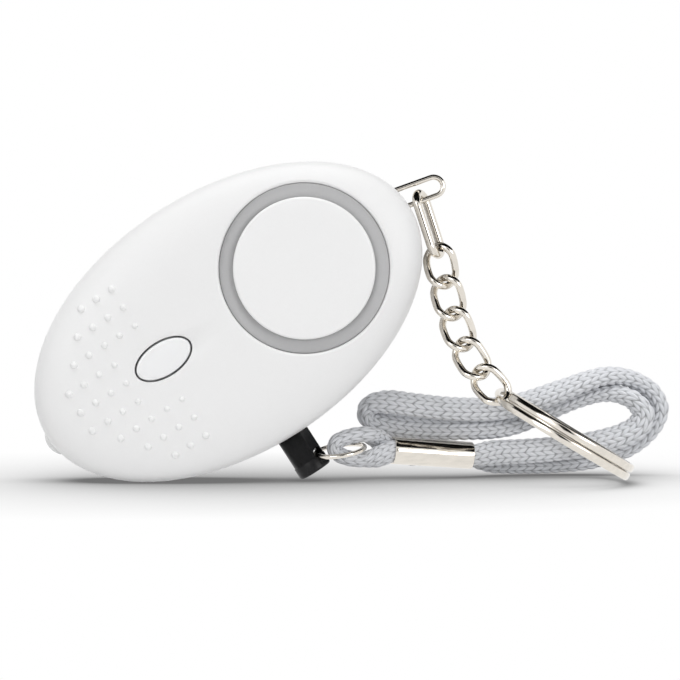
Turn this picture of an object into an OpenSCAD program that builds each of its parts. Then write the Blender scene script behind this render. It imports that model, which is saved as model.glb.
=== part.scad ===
// Personal safety alarm: an oval two-part case with a sounder, a light button and a pull pin,
// a braided wrist lanyard on the pin, and a chain with a split key ring on the case.
// Millimetres, +Z up. It stands on its edge as it is set down, with its face towards -Y.

/* [Case] */
// Length of the oval case
case_l = 66.8; // [65:0.2:74]
// Width of the oval case
case_w = 40.7; // [39.9:0.1:46]
// Thickness of the case from front to rear
case_t = 17; // [16.8:0.2:20]
// Wall of both case halves
case_wall = 1.6; // [1.3:0.1:1.7]
// Squareness of the rolled edge
edge_power = 5; // [4.5:0.5:6]
// Depth of the flat on the rear face
rear_flat = 0.3; // [0.2:0.05:0.5]
// Lean of the long axis above the floor in degrees
case_tilt = 32.8; // [31:0.2:35]
// Length of the opening slot in the seam
slot_l = 2.6; // [1.5:0.1:4]
// Diameter of the pegs that locate the two halves
peg_d = 1.6; // [1.2:0.1:1.8]

/* [Sounder] */
// Distance of the sounder from the middle of the case
speaker_x = 14.5; // [13.5:0.5:15]
// Height of the line of sounder and button above the long axis
face_line = 0.6; // [0:0.1:1]
// Diameter of the recess round the sounder
recess_d = 26.3; // [25.4:0.1:26.8]
// Depth of the recess at the middle of the face
recess_depth = 1.4; // [1:0.1:1.6]
// Diameter of the raised cover
cover_d = 21.9; // [20.5:0.1:23]
// Drop of the cover below the middle of the face
cover_drop = 0.2; // [0:0.05:0.5]
// Diameter of the sounder plate
piezo_d = 20.8; // [19.5:0.1:21.5]
// Diameter of the ceramic on the sounder plate
ceramic_d = 15; // [13:0.5:17]

/* [Button] */
// Distance of the button from the middle of the case
button_x = 11.2; // [10:0.2:12]
// Length of the oval button
button_l = 9.3; // [8:0.1:10]
// Width of the oval button
button_w = 5; // [4:0.1:6]
// Gap round the button
button_gap = 0.3; // [0.2:0.05:0.4]
// Travel of the button
button_travel = 0.5; // [0.3:0.1:0.6]

/* [Light] */
// Diameter of the clear lens
lens_d = 4.4; // [4:0.1:5]
// Rise of the lens beyond the case
lens_rise = 0.9; // [0.6:0.1:1.2]
// Diameter of the light emitter
led_d = 3; // [2.6:0.1:3.2]
// Drop of the light below the long axis
led_drop = 1; // [0.5:0.1:1.5]

/* [Pull pin] */
// Place of the pin along the case, from its middle
pin_x = -1.25; // [-2:0.25:-0.5]
// Diameter of the pin
pin_d = 5.2; // [4.6:0.1:5.6]
// Length of the pin outside the case
pin_out = 6.7; // [6:0.1:6.8]
// Length of the pin's guide inside the case
guide_l = 4.5; // [3.5:0.1:5]
// Diameter of the prong on the pin
prong_d = 2.6; // [2:0.1:3]
// Length of the prong
prong_l = 4.2; // [3.6:0.1:4.6]
// Diameter of the cross hole for the ring
cross_hole_d = 1.9; // [1.8:0.05:2]
// Diameter of the small ring in the cross hole, outside
pin_ring_d = 8.5; // [7.8:0.05:8.6]
// Wire of the small ring
pin_ring_wire = 0.75; // [0.6:0.05:0.8]

/* [Power] */
// Diameter of a coin cell
cell_d = 20; // [19:0.5:20.5]
// Thickness of a coin cell
cell_t = 3.2; // [2.5:0.1:3.2]

/* [Board] */
// Thickness of the circuit board
board_t = 1; // [0.8:0.1:1.2]
// Diameter of the board screws
screw_d = 1.5; // [1.2:0.1:1.6]
// Swing of the contact leaf in degrees
leaf_swing = 8; // [5:1:8]

/* [Wire loop] */
// Wire of the loop at the end of the case
loop_wire = 0.85; // [0.7:0.05:0.95]
// Width of the loop, outside
loop_w = 3.8; // [3.4:0.1:4.4]
// Length of the loop outside the case
loop_out = 7.1; // [5.5:0.1:7.5]
// Turn of the loop below the long axis in degrees
loop_turn = 13; // [10:1:16]
// Height of the loop above the long axis
loop_rise = 1.55; // [1.2:0.05:2]

/* [Chain] */
// Wire of the twisted links
link_wire = 1.15; // [1:0.05:1.25]
// Length of a link, outside
link_l = 7.6; // [7:0.1:8]
// Width of a link, outside
link_w = 5.4; // [5:0.1:5.8]
// Twist of each end of a link in degrees
link_twist = 40; // [36:1:44]
// Play between one link and the next
link_play = 0.15; // [0.12:0.01:0.25]
// Wire of the long connector link
connector_wire = 1.35; // [1.1:0.05:1.5]
// Length of the connector link, outside
connector_l = 11.4; // [10:0.2:12.4]
// Width of the connector link, outside
connector_w = 5.1; // [4.6:0.1:5.6]

/* [Key ring] */
// Diameter of the split key ring, outside
ring_d = 24.5; // [20:0.5:25]
// Wire of the split key ring
ring_wire = 0.95; // [0.8:0.05:1.1]
// Gap between its two turns
ring_gap = 0.45; // [0.42:0.01:0.6]
// Slope of the key ring in degrees
ring_slope = 31; // [28:0.5:31]

/* [Lanyard] */
// Width of the flat braided cord
cord_w = 4.2; // [3.8:0.1:4.3]
// Thickness of the flat braided cord
cord_t = 2.8; // [2.4:0.1:2.9]
// Share of the cord's size that is left inside the crimp
crimp = 0.8; // [0.75:0.01:0.82]
// Wall of the crimp sleeve
sleeve_wall = 0.3; // [0.2:0.05:0.4]

/* [Hidden] */
$fn = 48;

// Clearances: a running fit on the radius, a seat between two pieces, and room round a piece
slip = 0.05;
seat = 0.05;
room = 0.3;
// How far a cut runs past the surface that it opens
past = 1;

// Case: half sizes, its middle above the floor and its reach to each side
case_a = case_l / 2;
case_b = case_w / 2;
case_h = case_t / 2;
case_z = norm([case_a * sin(case_tilt), case_b * cos(case_tilt)]);
case_reach = norm([case_a * cos(case_tilt), case_b * sin(case_tilt)]);
around = 48;
outer_steps = [82, 65, 50, 36, 24, 13, 5, 0];
inner_steps = [0, 8, 24, 45, 70];
rear_in = case_h - rear_flat - case_wall;
front_in = roll_height(case_h - case_wall, inner_steps[len(inner_steps) - 1]);
peg_turns = [32, -35, 205];
peg_inset = 5;
peg_l = 3;
post_d = peg_d + 1.4;
slot_turn = -72.4;
slot_h = 0.9;
slot_depth = 0.9;

// Sounder: levels counted towards the face from the seam
recess_floor = case_h - recess_depth;
sounder_ring_t = 1.8;
sounder_back = recess_floor - sounder_ring_t;
ledge_t = 1;
ledge_w = 1.35;
collar_w = 1.45;
collar_r = recess_d / 2 + collar_w;
collar_top = skin(speaker_x + collar_r, face_line) - case_wall / 4;
spigot_r = cover_d / 2 - 1.95;
spigot_l = 0.9;
cover_edge = 0.35;
piezo_t = 0.25;
ceramic_t = 0.2;
piezo_pocket = 0.6;
gasket_t = 0.9;
lead_d = 0.7;
gasket_w = 2.5;
lead_ring = ceramic_d / 2 + lead_d + 0.3;
lead_room = 0.15;
lead_level = sounder_back - ledge_t - lead_d;

// Cells: the rear one lies on its contact plate, and the board stands level with the front one
battery_x = speaker_x;
plate_t = 0.25;
strip_w = 4;
lead_high = face_line + strip_w / 2 + 0.9;
cell_rear = rear_skin(battery_x + cell_d / 2, face_line) - 0.2;
cell_front = cell_rear - 2 * cell_t;
cell_step = 0.3;
cell_cap_r = cell_d / 2 - 1.2;
cradle_gap = 0.1;
cradle_w = 1;
cradle_r = cell_d / 2 + cradle_gap + cradle_w;

// Board: its front face stands behind the front of the cells
board_y = cell_front + 0.5;
board_top = 11;
board_low = 9.4;
led_length = 4.9;
led_flange_t = 1;
lens_back = 3.3;
lens_flange_t = 0.75;
led_tip = lens_back + 0.4;
led_end = led_tip + led_length + led_flange_t;
board_left = -case_a + led_end + 0.7;
board_right = pin_x + 6.9;
screw_spots = [[board_left + 3.5, 7.5], [-2.5, 9]];
boss_d = screw_d + 2.5;
head_d = screw_d + 1.9;
head_t = 1;
screw_grip = 4.4;

// Button: levels counted towards the face from the seam
button_top = skin(button_x, face_line) + 0.1;
flange_w = 0.8;
flange_t = 0.75;
flange_top = front_in - 0.1;
switch_side = 6;
chip_l = 5;
chip_w = 4;
chip_t = 1.4;
chip_leg = 1;
chip_gap = 0.6;
chip_x = -button_x - switch_side / 2 - chip_gap - chip_l;
coil_d = 6;
coil_h = 4;
coil_end = 0.8;
switch_top = 3.5 - board_y;
plunger_d = 3.4;
plunger_rise = 1.2;
plunger_depth = 1;
stem_d = 2.2;

// Pull pin: heights counted from the long axis of the case
guide_skin = 0.7;
guide_wall = 1.5;
pin_shoulder = -case_b + guide_skin + guide_l;
pin_tip = pin_shoulder + prong_l;
pin_end = -case_b - pin_out;
pin_round = 0.4;
collar_l = 2;
collar_step = 0.12;
cross_in = 2.3;
cross_off = 1.4;
cross_z = pin_end + cross_in;
pin_ring_r = (pin_ring_d - pin_ring_wire) / 2;
pin_ring_tip = 9;
pin_ring_lift = 8;
pin_ring_ease = 0.02;
pin_ring_mid = to_floor([pin_x + cross_off, 0, cross_z])
    + (pin_ring_r - pin_ring_ease) * [cos(pin_ring_lift), 0, sin(pin_ring_lift)];

// Contact: the prong lifts the leaf off the fixed contact
leaf_t = 0.25;
leaf_w = 2;
leaf_z = pin_tip + seat + leaf_t / 2;
leaf_arm = 5.85;
leaf_past = 3.4;
leaf_y = board_y - room - leaf_w / 2;
eye_r = 0.55;
pivot_r = 0.25;
contact_drop = leaf_t / 2 + (leaf_arm + leaf_past) * sin(leaf_swing) + 0.15;
contact_t = 0.45;
tab_low = -leaf_z + contact_drop + contact_t + 0.3;

// Wire loop
loop_r = (loop_w - loop_wire) / 2;
loop_start = case_a - 0.2;
loop_keep = 1;
loop_in = round(100 * (loop_start - battery_x - cradle_r - loop_keep) / cos(loop_turn)) / 100;
loop_foot = 1.5;
loop_hang = 2.6;

// Chain: the connector is link 0. Leans and forward tips of the links are in degrees.
leans = [18, 12, 14, 20, 32, 42];
tips = [3, 6, 9, 12, 14, 16];
connector_turn = 66;
hang = to_floor([loop_start, 0, loop_rise] + along_loop(loop_hang, -loop_r));
ring_pitch = ring_wire + ring_gap;
ring_r = (ring_d - ring_wire) / 2;
ring_dir = [cos(ring_slope), 0, -sin(ring_slope)];
ring_axis = [sin(ring_slope), 0, cos(ring_slope)];
ring_ease = 0.3;
ring_hold = low_wire(5) - ((link_wire + ring_wire) / 2 + link_play + ring_ease) * down(5);
ring_mid = ring_hold + ring_r * ring_dir;
ring_ends = 30;
ring_step = 15;
ring_sides = 8;
link_sides = 8;
bend_steps = 8;

// Lanyard: the sleeve's ends, and the route of the cord as it lies, each point with its roll in degrees
sleeve_from = [25.5, 3.5, 4.5];
sleeve_to = [38, 6.5, 3.5];
sleeve_run = sleeve_to - sleeve_from;
sleeve_l = norm(sleeve_run);
sleeve_yaw = atan2(sleeve_run[1], sleeve_run[0]);
sleeve_dip = asin(-sleeve_run[2] / sleeve_l);
strand_off = cord_t * crimp / 2 + 0.03;
bore_h = cord_w * crimp + 0.3;
bore_w = 2 * cord_t * crimp + 0.46;
cord_sides = 10;
cord_snug = 0.87;
ring_route = [[22.7, 1.4, 3.5, 50], [20.9, 0.8, 3.25, 10], [19.4, 0.5, 3.35, 4], [18, 0.3, 3.7, 0],
    [16.9, 0.3, 4.3, 0], [16.5, 0.3, 5.15, 0], [16.9, 0.3, 6, 0], [18, 0.3, 6.6, 0],
    [19.4, 0.4, 7, 0], [20.9, 0.8, 7.2, -4], [22.7, 3, 6.7, -46]];
wrist_route = [[42, 10.5, 2.4, 64], [46.2, 11.8, 2.2, 60], [50.8, 12.5, 2.2, 58], [59.4, 12.8, 3.2, 54],
    [62.9, 12.8, 4.4, 52], [65.7, 12.8, 6.2, 50], [67.6, 12.8, 8.4, 46], [68.4, 12.7, 10.6, 38],
    [67.6, 12.5, 12.8, 28], [65.6, 12.2, 14.6, 16], [62.9, 11.8, 15.7, 4], [59.9, 11.1, 15.9, -10],
    [56.4, 10.5, 15, -24], [52.4, 10.2, 13.5, -36], [44.4, 8.6, 11.1, -44], [36.5, 6.9, 10.8, -46],
    [28.4, 6.3, 11.6, -46], [25.2, 6.4, 12, -44], [23.4, 6.6, 11.9, -34], [22, 6.9, 11.4, -18],
    [21.4, 7.2, 10.2, 0], [22, 7.5, 9.1, 16], [23.4, 7.8, 8.6, 32], [25.8, 8.3, 8.2, 46],
    [28.8, 8.7, 7.9, 52], [36.4, 8.8, 7.7, 50], [44.4, 11, 8.1, 42], [52.4, 12.5, 11.1, 32],
    [55.9, 12.6, 12.4, 26], [59.2, 12.2, 13.1, 12], [62.2, 11.2, 12.9, -8], [64.6, 10.2, 11.7, -26],
    [65.8, 9.9, 9.9, -38], [65.2, 9.8, 8.2, -46], [62.8, 9.9, 6.6, -50], [59.4, 10, 5.5, -54],
    [50.8, 9.8, 4.2, -58], [46.2, 9.2, 3.9, -60], [42, 7.7, 3.8, -64]];

// The origin lies under the middle of the part without its lanyard
ring_tip_x = ring_mid[0] + ring_r * cos(ring_slope) + ring_pitch / 2 * sin(ring_slope) + ring_wire / 2;
ring_front = ring_mid[1] - ring_d / 2;
shift = [(case_reach - ring_tip_x) / 2, -(min(ring_front, -case_h) + case_h - rear_flat) / 2, 0];

function unit(v) = v / norm(v);
function skin(x, z) = case_h * pow(1 - pow(norm([x / case_a, z / case_b]), edge_power), 1 / edge_power);
function rear_skin(x, z) = rear_in
    * pow(1 - pow(norm([x / (case_a - case_wall), z / (case_b - case_wall)]), edge_power), 1 / edge_power);
function roll_height(h, q) = h * pow(sin(q), 2 / edge_power);
function to_floor(p) = [p[0] * cos(case_tilt) - p[2] * sin(case_tilt), p[1],
    case_z + p[0] * sin(case_tilt) + p[2] * cos(case_tilt)];
function along_loop(x, z) = [x * cos(loop_turn) + z * sin(loop_turn), 0,
    z * cos(loop_turn) - x * sin(loop_turn)];
function peg_spot(q) = [(case_a - peg_inset) * cos(q), (case_b - peg_inset) * sin(q)];
function rim(l, w, n) = [for (i = [0:n - 1]) [l / 2 * cos(360 * i / n), w / 2 * sin(360 * i / n)]];

// Rolled outline of the case at one step of its profile
function shell_ring(a, b, h, side, q) = let (s = pow(cos(q), 2 / edge_power))
    [for (i = [0:around - 1])
        let (t = 360 * i / around) [s * a * cos(t), side * roll_height(h, q), s * b * sin(t)]];

// Chain: directions, wires and end points of link k
function down(k) = [sin(leans[k]) * cos(tips[k]), -sin(tips[k]), -cos(leans[k]) * cos(tips[k])];
function across(k) = [cos(leans[k]), 0, sin(leans[k])];
function away(k) = cross(-down(k), across(k));
function wire(k) = k == 0 ? connector_wire : link_wire;
function reach(k) = k == 0 ? connector_l - connector_wire : link_l - link_wire;
function half_width(k) = k == 0 ? (connector_w - connector_wire) / 2 : (link_w - link_wire) / 2;
function turn(k, share) = k == 0 ? connector_turn : -link_twist * share;
function top_wire(k) = k == 0 ? hang - ((loop_wire + connector_wire) / 2 + link_play) * down(0)
    : low_wire(k - 1) - ((wire(k - 1) + wire(k)) / 2 + link_play) * down(k);
function low_wire(k) = top_wire(k) + reach(k) * down(k);
function link_point(k, end, q) = let (a = reach(k) / 2, b = half_width(k),
        u = end * (a - b + b * sin(q)), v = end * b * cos(q), r = turn(k, u / a))
    (top_wire(k) + low_wire(k)) / 2 - u * down(k) + v * (cos(r) * across(k) + sin(r) * away(k));
function link_path(k) = [for (end = [1, -1], i = [0:bend_steps]) link_point(k, end, 180 * i / bend_steps)];

// Round wire along a path; the first direction of each section points away from the path's middle
function wire_rings(path, mid, d, sides, closed) = let (n = len(path)) [for (i = [0:n - 1])
    let (a = closed ? path[(i + n - 1) % n] : path[max(i - 1, 0)],
        b = closed ? path[(i + 1) % n] : path[min(i + 1, n - 1)],
        t = unit(b - a), out = path[i] - mid, x = unit(out - (out * t) * t), y = cross(t, x))
    [for (j = [0:sides - 1]) path[i] + d / 2 * (cos(360 * j / sides) * x + sin(360 * j / sides) * y)]];

// Split ring: two turns, with a step from one to the other where the chain holds it
function ring_level(u) = let (s = min(max((u - 360 + ring_ends) / (2 * ring_ends), 0), 1))
    ring_pitch * (s * s * (3 - 2 * s) - 0.5);
function ring_point(u) = ring_mid + ring_r * (sin(u) * [0, 1, 0] - cos(u) * ring_dir)
    + ring_level(u) * ring_axis;
ring_path = [for (u = [ring_ends:ring_step:720 - ring_ends]) ring_point(u)];
ring_turn_points = 360 / ring_step;
ring_least_gap = min([for (i = [0:len(ring_path) - 1], j = [0:len(ring_path) - 1])
    if (j - i > ring_turn_points / 2) norm(ring_path[i] - ring_path[j])]) - ring_wire;
echo(key_ring_least_gap = ring_least_gap);

// Flat cord along points with a roll; a fifth value is the share of its size that is left there
function strand(t, side, r) = concat(sleeve_from + t * sleeve_run
    + side * strand_off * [-sin(sleeve_yaw), cos(sleeve_yaw), 0], [r, crimp]);
function place(p) = [p[0], p[1], p[2]];
function cord_rings(points) = let (n = len(points)) [for (i = [0:n - 1])
    let (p = place(points[i]), t = unit(place(points[min(i + 1, n - 1)]) - place(points[max(i - 1, 0)])),
        up = unit(cross(t, [0, 1, 0])), side = cross(t, up), r = points[i][3],
        share = len(points[i]) > 4 ? points[i][4] : 1,
        x = cos(r) * up + sin(r) * side, y = cross(t, x))
    [for (j = [0:cord_sides - 1]) let (q = 360 * j / cord_sides)
        p + share / 2 * (cord_t * cos(q) * x + cord_w * sin(q) * y)]];

module stood() translate(shift) children();
module in_case() stood() translate([0, 0, case_z]) rotate([0, -case_tilt, 0]) children();
// A round piece whose own axis points out of the face of the case
module facing(x, z) translate([x, 0, z]) rotate([90, 0, 0]) children();
// A round piece whose own axis points out of the narrow end of the case
module at_light() translate([-case_a, 0, -led_drop]) rotate([0, -90, 0]) children();
module at_loop() translate([loop_start, 0, loop_rise]) rotate([0, loop_turn, 0]) children();

// Solid through a list of rings of points, open with two caps or closed on itself
module tube(rings, closed = false) {
    m = len(rings);
    n = len(rings[0]);
    sides = [for (k = [0:closed ? m - 1 : m - 2], i = [0:n - 1])
        let (a = k * n + i, b = (k + 1) % m * n + i, c = (k + 1) % m * n + (i + 1) % n,
            d = k * n + (i + 1) % n) each [[a, b, c], [a, c, d]]];
    caps = closed ? [] : [[for (i = [0:n - 1]) i], [for (i = [n - 1:-1:0]) (m - 1) * n + i]];
    polyhedron(points = [for (r = rings) each r], faces = concat(caps, sides));
}

// One hollow half of the case: side -1 is the front and 1 the rear
module case_shell(side, inside) {
    rings = concat([for (q = outer_steps) shell_ring(case_a, case_b, case_h, side, q)],
        [for (q = inner_steps) shell_ring(case_a - case_wall, case_b - case_wall, inside, side, q)]);
    tube(side < 0 ? [for (i = [len(rings) - 1:-1:0]) rings[i]] : rings);
}

module pin_guide(side) intersection() {
    translate([pin_x, 0, -case_b + guide_skin]) cylinder(d = pin_d + 2 * guide_wall, h = guide_l);
    translate([-case_a, side < 0 ? -case_h : 0, -case_w]) cube([case_l, case_h, case_w]);
}

// Holes that the two halves share along the seam
module seam_holes() {
    translate([pin_x, 0, -case_b - past]) cylinder(r = pin_d / 2 + slip, h = guide_skin + guide_l + 2 * past);
    at_light() translate([0, 0, -lens_back]) cylinder(r = lens_d / 2 + slip, h = lens_back + 2 * past);
    for (side = [-1, 1]) at_loop() translate([-loop_in, 0, side * loop_r]) rotate([0, 90, 0])
        cylinder(r = loop_wire / 2 + slip, h = loop_in + loop_out);
}

module opening_slot() translate([case_a * cos(slot_turn), 0, case_b * sin(slot_turn)])
    rotate([0, -atan2(case_b * cos(slot_turn), -case_a * sin(slot_turn)), 0])
    translate([-slot_l / 2, -slot_h, -past]) cube([slot_l, slot_h + past, past + slot_depth]);

module button_oval(grow) polygon(rim(button_l + 2 * grow, button_w + 2 * grow, 48));

module front_case() color("white") in_case() difference() {
    union() {
        case_shell(-1, case_h - case_wall);
        facing(speaker_x, face_line) translate([0, 0, sounder_back - ledge_t])
            cylinder(r = collar_r, h = collar_top - sounder_back + ledge_t, $fn = 96);
        for (s = screw_spots) facing(s[0], s[1]) translate([0, 0, -board_y])
            cylinder(d = boss_d, h = board_y + skin(s[0], s[1]) - case_wall / 2);
        for (q = peg_turns) let (s = peg_spot(q)) facing(s[0], s[1])
            cylinder(d = post_d, h = skin(s[0], s[1]) - case_wall / 2);
        pin_guide(-1);
    }
    facing(speaker_x, face_line) {
        translate([0, 0, sounder_back]) cylinder(d = recess_d, h = case_h, $fn = 96);
        cylinder(r = recess_d / 2 - ledge_w, h = case_h, $fn = 96);
    }
    facing(-button_x, face_line) translate([0, 0, flange_top]) linear_extrude(case_h) button_oval(button_gap);
    for (s = screw_spots) facing(s[0], s[1]) translate([0, 0, -board_y - past])
        cylinder(d = screw_d, h = screw_grip + past);
    for (q = peg_turns) let (s = peg_spot(q)) facing(s[0], s[1]) translate([0, 0, -past])
        cylinder(r = peg_d / 2 + slip, h = peg_l + past + room);
    seam_holes();
    opening_slot();
}

module rear_case() color("white") in_case() difference() {
    union() {
        difference() {
            case_shell(1, rear_in);
            translate([-case_l, case_h - rear_flat, -case_w]) cube([2 * case_l, case_h, 2 * case_w]);
        }
        facing(battery_x, face_line) translate([0, 0, -rear_in - case_wall / 2]) difference() {
            cylinder(r = cradle_r, h = cell_t * 1.6);
            cylinder(r = cradle_r - cradle_w, h = cell_t * 4);
        }
        for (q = peg_turns) let (s = peg_spot(q), end = min(skin(s[0], s[1]), case_h - rear_flat)) {
            facing(s[0], s[1]) translate([0, 0, case_wall / 2 - end])
                cylinder(d = post_d, h = end - case_wall / 2);
            facing(s[0], s[1]) translate([0, 0, -past]) cylinder(d = peg_d, h = peg_l + past);
        }
        pin_guide(1);
    }
    translate([battery_x - cradle_r - past, cell_rear - cradle_gap, face_line - strip_w / 2 - room])
        cube([cradle_w * 2 + past, rear_in - cell_rear + cradle_gap, strip_w + 2 * room]);
    seam_holes();
}

module speaker_ring() color("darkgray") in_case() facing(speaker_x, face_line) rotate_extrude($fn = 96)
    polygon([[spigot_r + slip, sounder_back + piezo_pocket],
        [piezo_d / 2 + slip, sounder_back + piezo_pocket], [piezo_d / 2 + slip, sounder_back],
        [recess_d / 2 - slip, sounder_back], [recess_d / 2 - slip, recess_floor],
        [spigot_r + slip, recess_floor]]);

module speaker_cover() color("whitesmoke") in_case() facing(speaker_x, face_line) rotate_extrude($fn = 96)
    let (r = cover_d / 2, top = case_h - cover_drop)
    polygon([[0, recess_floor - spigot_l], [spigot_r, recess_floor - spigot_l], [spigot_r, recess_floor],
        [r, recess_floor], [r, top - cover_edge], [r - cover_edge, top], [0, top]]);

module piezo_plate() color("goldenrod") in_case() facing(speaker_x, face_line)
    translate([0, 0, sounder_back + piezo_pocket - piezo_t]) cylinder(d = piezo_d, h = piezo_t);

module piezo_ceramic() color("lightgray") in_case() facing(speaker_x, face_line)
    translate([0, 0, sounder_back + piezo_pocket - piezo_t - ceramic_t])
    cylinder(d = ceramic_d, h = ceramic_t);

module sounder_gasket() color("dimgray") in_case() difference() {
    facing(speaker_x, face_line) translate([0, 0, sounder_back - gasket_t])
        cylinder(r = recess_d / 2 - ledge_w - slip, h = gasket_t);
    facing(speaker_x, face_line) cylinder(r = recess_d / 2 - ledge_w - gasket_w, h = case_h);
    facing(lead_to(lead_high, lead_ring), lead_high) cylinder(r = lead_d / 2 + lead_room, h = case_h);
}

function lead_to(z, r) = speaker_x - sqrt(r * r - (z - face_line) * (z - face_line));

// A lead rises from the board, runs below the collar and ends on the sounder
module piezo_lead(z, r, top) in_case() {
    from = 1.5;
    to = lead_to(z, r);
    facing(from, z) translate([0, 0, -board_y]) cylinder(d = lead_d, h = lead_level + board_y);
    facing(from, z) translate([0, 0, lead_level]) sphere(d = lead_d);
    translate([from, -lead_level, z]) rotate([0, 90, 0]) cylinder(d = lead_d, h = to - from);
    facing(to, z) translate([0, 0, lead_level]) sphere(d = lead_d);
    facing(to, z) translate([0, 0, lead_level]) cylinder(d = lead_d, h = top - lead_level);
}

module piezo_leads() color("crimson") {
    plate_back = sounder_back + piezo_pocket - piezo_t;
    piezo_lead(lead_high, lead_ring, plate_back);
    piezo_lead(face_line - strip_w / 2 - 1.1, ceramic_d / 2 - 1, plate_back - ceramic_t);
}

module led_button() color("white") in_case() facing(-button_x, face_line) {
    translate([0, 0, flange_top - flange_t]) linear_extrude(flange_t) button_oval(flange_w);
    translate([0, 0, flange_top]) linear_extrude(button_top - flange_top) button_oval(0);
    translate([0, 0, switch_top + plunger_rise])
        cylinder(d = stem_d, h = flange_top - switch_top - plunger_rise);
}

module switch_plunger() color("black") in_case() facing(-button_x, face_line)
    translate([0, 0, switch_top - plunger_depth])
    cylinder(d = plunger_d, h = plunger_depth + plunger_rise - seat);

module button_switch() color("dimgray") in_case() facing(-button_x, face_line) difference() {
    translate([-switch_side / 2, -switch_side / 2, -board_y])
        cube([switch_side, switch_side, switch_top + board_y]);
    translate([0, 0, switch_top - plunger_depth - button_travel - seat])
        cylinder(r = plunger_d / 2 + slip, h = case_h);
}

module led_lens() color("gainsboro") in_case() at_light() {
    r = lens_d / 2;
    ball = (r * r + lens_rise * lens_rise) / (2 * lens_rise);
    translate([0, 0, -lens_back]) cylinder(r = r + 0.7, h = lens_flange_t);
    translate([0, 0, -lens_back]) cylinder(r = r, h = lens_back);
    intersection() {
        translate([0, 0, lens_rise - ball]) sphere(r = ball);
        translate([0, 0, -room]) cylinder(r = r, h = lens_rise + past);
    }
}

module led_bulb() color("white") in_case() {
    at_light() {
        translate([0, 0, -led_tip - led_length]) cylinder(d = led_d, h = led_length - led_d / 2);
        translate([0, 0, -led_tip - led_d / 2]) sphere(d = led_d);
        translate([0, 0, -led_end]) cylinder(d = led_d + 0.8, h = led_flange_t);
    }
    for (side = [-1, 1]) translate([-case_a + led_end - 0.1, board_y - 0.25, -led_drop + side * led_d * 0.32])
        rotate([0, 90, 0]) cylinder(d = 0.5, h = 2.8);
}

module circuit_board() color("seagreen") in_case() difference() {
    union() {
        translate([board_left, board_y, -board_low])
            cube([board_right - board_left, board_t, board_low + board_top]);
        translate([pin_x - 7, board_y, -tab_low]) cube([7 - prong_d / 2 - past, board_t, tab_low]);
        translate([pin_x + prong_d / 2 + past, board_y, -tab_low])
            cube([board_right - pin_x - prong_d / 2 - past, board_t, tab_low]);
    }
    facing(battery_x, face_line) translate([0, 0, -case_h]) cylinder(r = cradle_r + room, h = case_t);
    for (s = screw_spots) facing(s[0], s[1]) translate([0, 0, -case_h])
        cylinder(d = screw_d + room, h = case_t);
}

module board_screws() color("silver") in_case() for (s = screw_spots) facing(s[0], s[1]) {
    translate([0, 0, -board_y - board_t - head_t]) cylinder(d = head_d, h = head_t);
    translate([0, 0, -board_y - board_t]) cylinder(r = screw_d / 2 - slip, h = board_t + screw_grip - room);
}

module sound_chip() color("black") in_case() translate([chip_x, board_y, chip_leg - board_low]) {
    translate([0, -chip_t - 0.1, 0]) cube([chip_l, chip_t, chip_w]);
    for (i = [0:3]) translate([(i + 0.33) * chip_l / 4, -0.5, -chip_leg])
        cube([chip_l / 12, 0.5, chip_w + 2 * chip_leg]);
}

module step_up_coil() color("saddlebrown") in_case() facing(-4, 2.5) translate([0, 0, -board_y]) {
    cylinder(d = coil_d, h = coil_end);
    cylinder(d = coil_d - 1.4, h = coil_h);
    translate([0, 0, coil_h - coil_end]) cylinder(d = coil_d, h = coil_end);
}

module drive_transistor() color("black") in_case() translate([-6, board_y, -6.5]) {
    translate([0, -1.6, 0]) cube([4.5, 1.5, 2.5]);
    for (i = [0:2]) translate([0.5 + i * 1.5, -0.5, -0.9]) cube([0.5, 0.5, 4]);
}

module coin_cell() rotate_extrude($fn = 96) polygon([[0, 0], [cell_d / 2, 0],
    [cell_d / 2, cell_t - cell_step], [cell_cap_r, cell_t - cell_step], [cell_cap_r, cell_t], [0, cell_t]]);

module battery_cells() color("lightsteelblue") in_case() for (i = [0:1]) facing(battery_x, face_line)
    translate([0, 0, -cell_rear + i * cell_t]) coin_cell();

module battery_spring() color("gold") in_case() translate([0.8, 0, face_line - strip_w / 2]) {
    translate([0, cell_front - seat - plate_t, 0]) cube([battery_x + 1, plate_t, strip_w]);
    translate([0, cell_front - seat - plate_t, 0])
        cube([plate_t, board_y - cell_front + seat + plate_t, strip_w]);
}

module battery_plate() color("gold") in_case() {
    from = battery_x - cradle_r - room - 0.55;
    translate([from, cell_rear, face_line - strip_w / 2]) cube([battery_x + 3 - from, plate_t, strip_w]);
    translate([from, board_y + board_t, face_line - strip_w / 2])
        cube([plate_t, cell_rear + plate_t - board_y - board_t, strip_w]);
}

module contact_leaf() color("peru") in_case() difference() {
    union() {
        translate([pin_x - leaf_past, leaf_y - leaf_w / 2, leaf_z - leaf_t / 2])
            cube([leaf_past + leaf_arm, leaf_w, leaf_t]);
        translate([pin_x + leaf_arm, leaf_y - leaf_w / 2, leaf_z]) rotate([-90, 0, 0])
            cylinder(r = eye_r, h = leaf_w);
    }
    translate([pin_x + leaf_arm, leaf_y - leaf_w, leaf_z]) rotate([-90, 0, 0])
        cylinder(r = pivot_r + slip, h = 2 * leaf_w);
}

module leaf_pivot() color("silver") in_case() translate([pin_x + leaf_arm, leaf_y - leaf_w / 2 - 0.2, leaf_z])
    rotate([-90, 0, 0]) cylinder(r = pivot_r, h = board_y - leaf_y + leaf_w / 2 + 0.2);

module fixed_contact() color("gold") in_case() translate([pin_x - 6, board_y - leaf_w - room, leaf_z]) {
    translate([0, 0, -contact_drop - contact_t]) cube([1, leaf_w + room, contact_drop + contact_t]);
    translate([0, 0, -contact_drop - contact_t]) cube([6 - leaf_past + 0.6, leaf_w, contact_t]);
}

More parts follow.
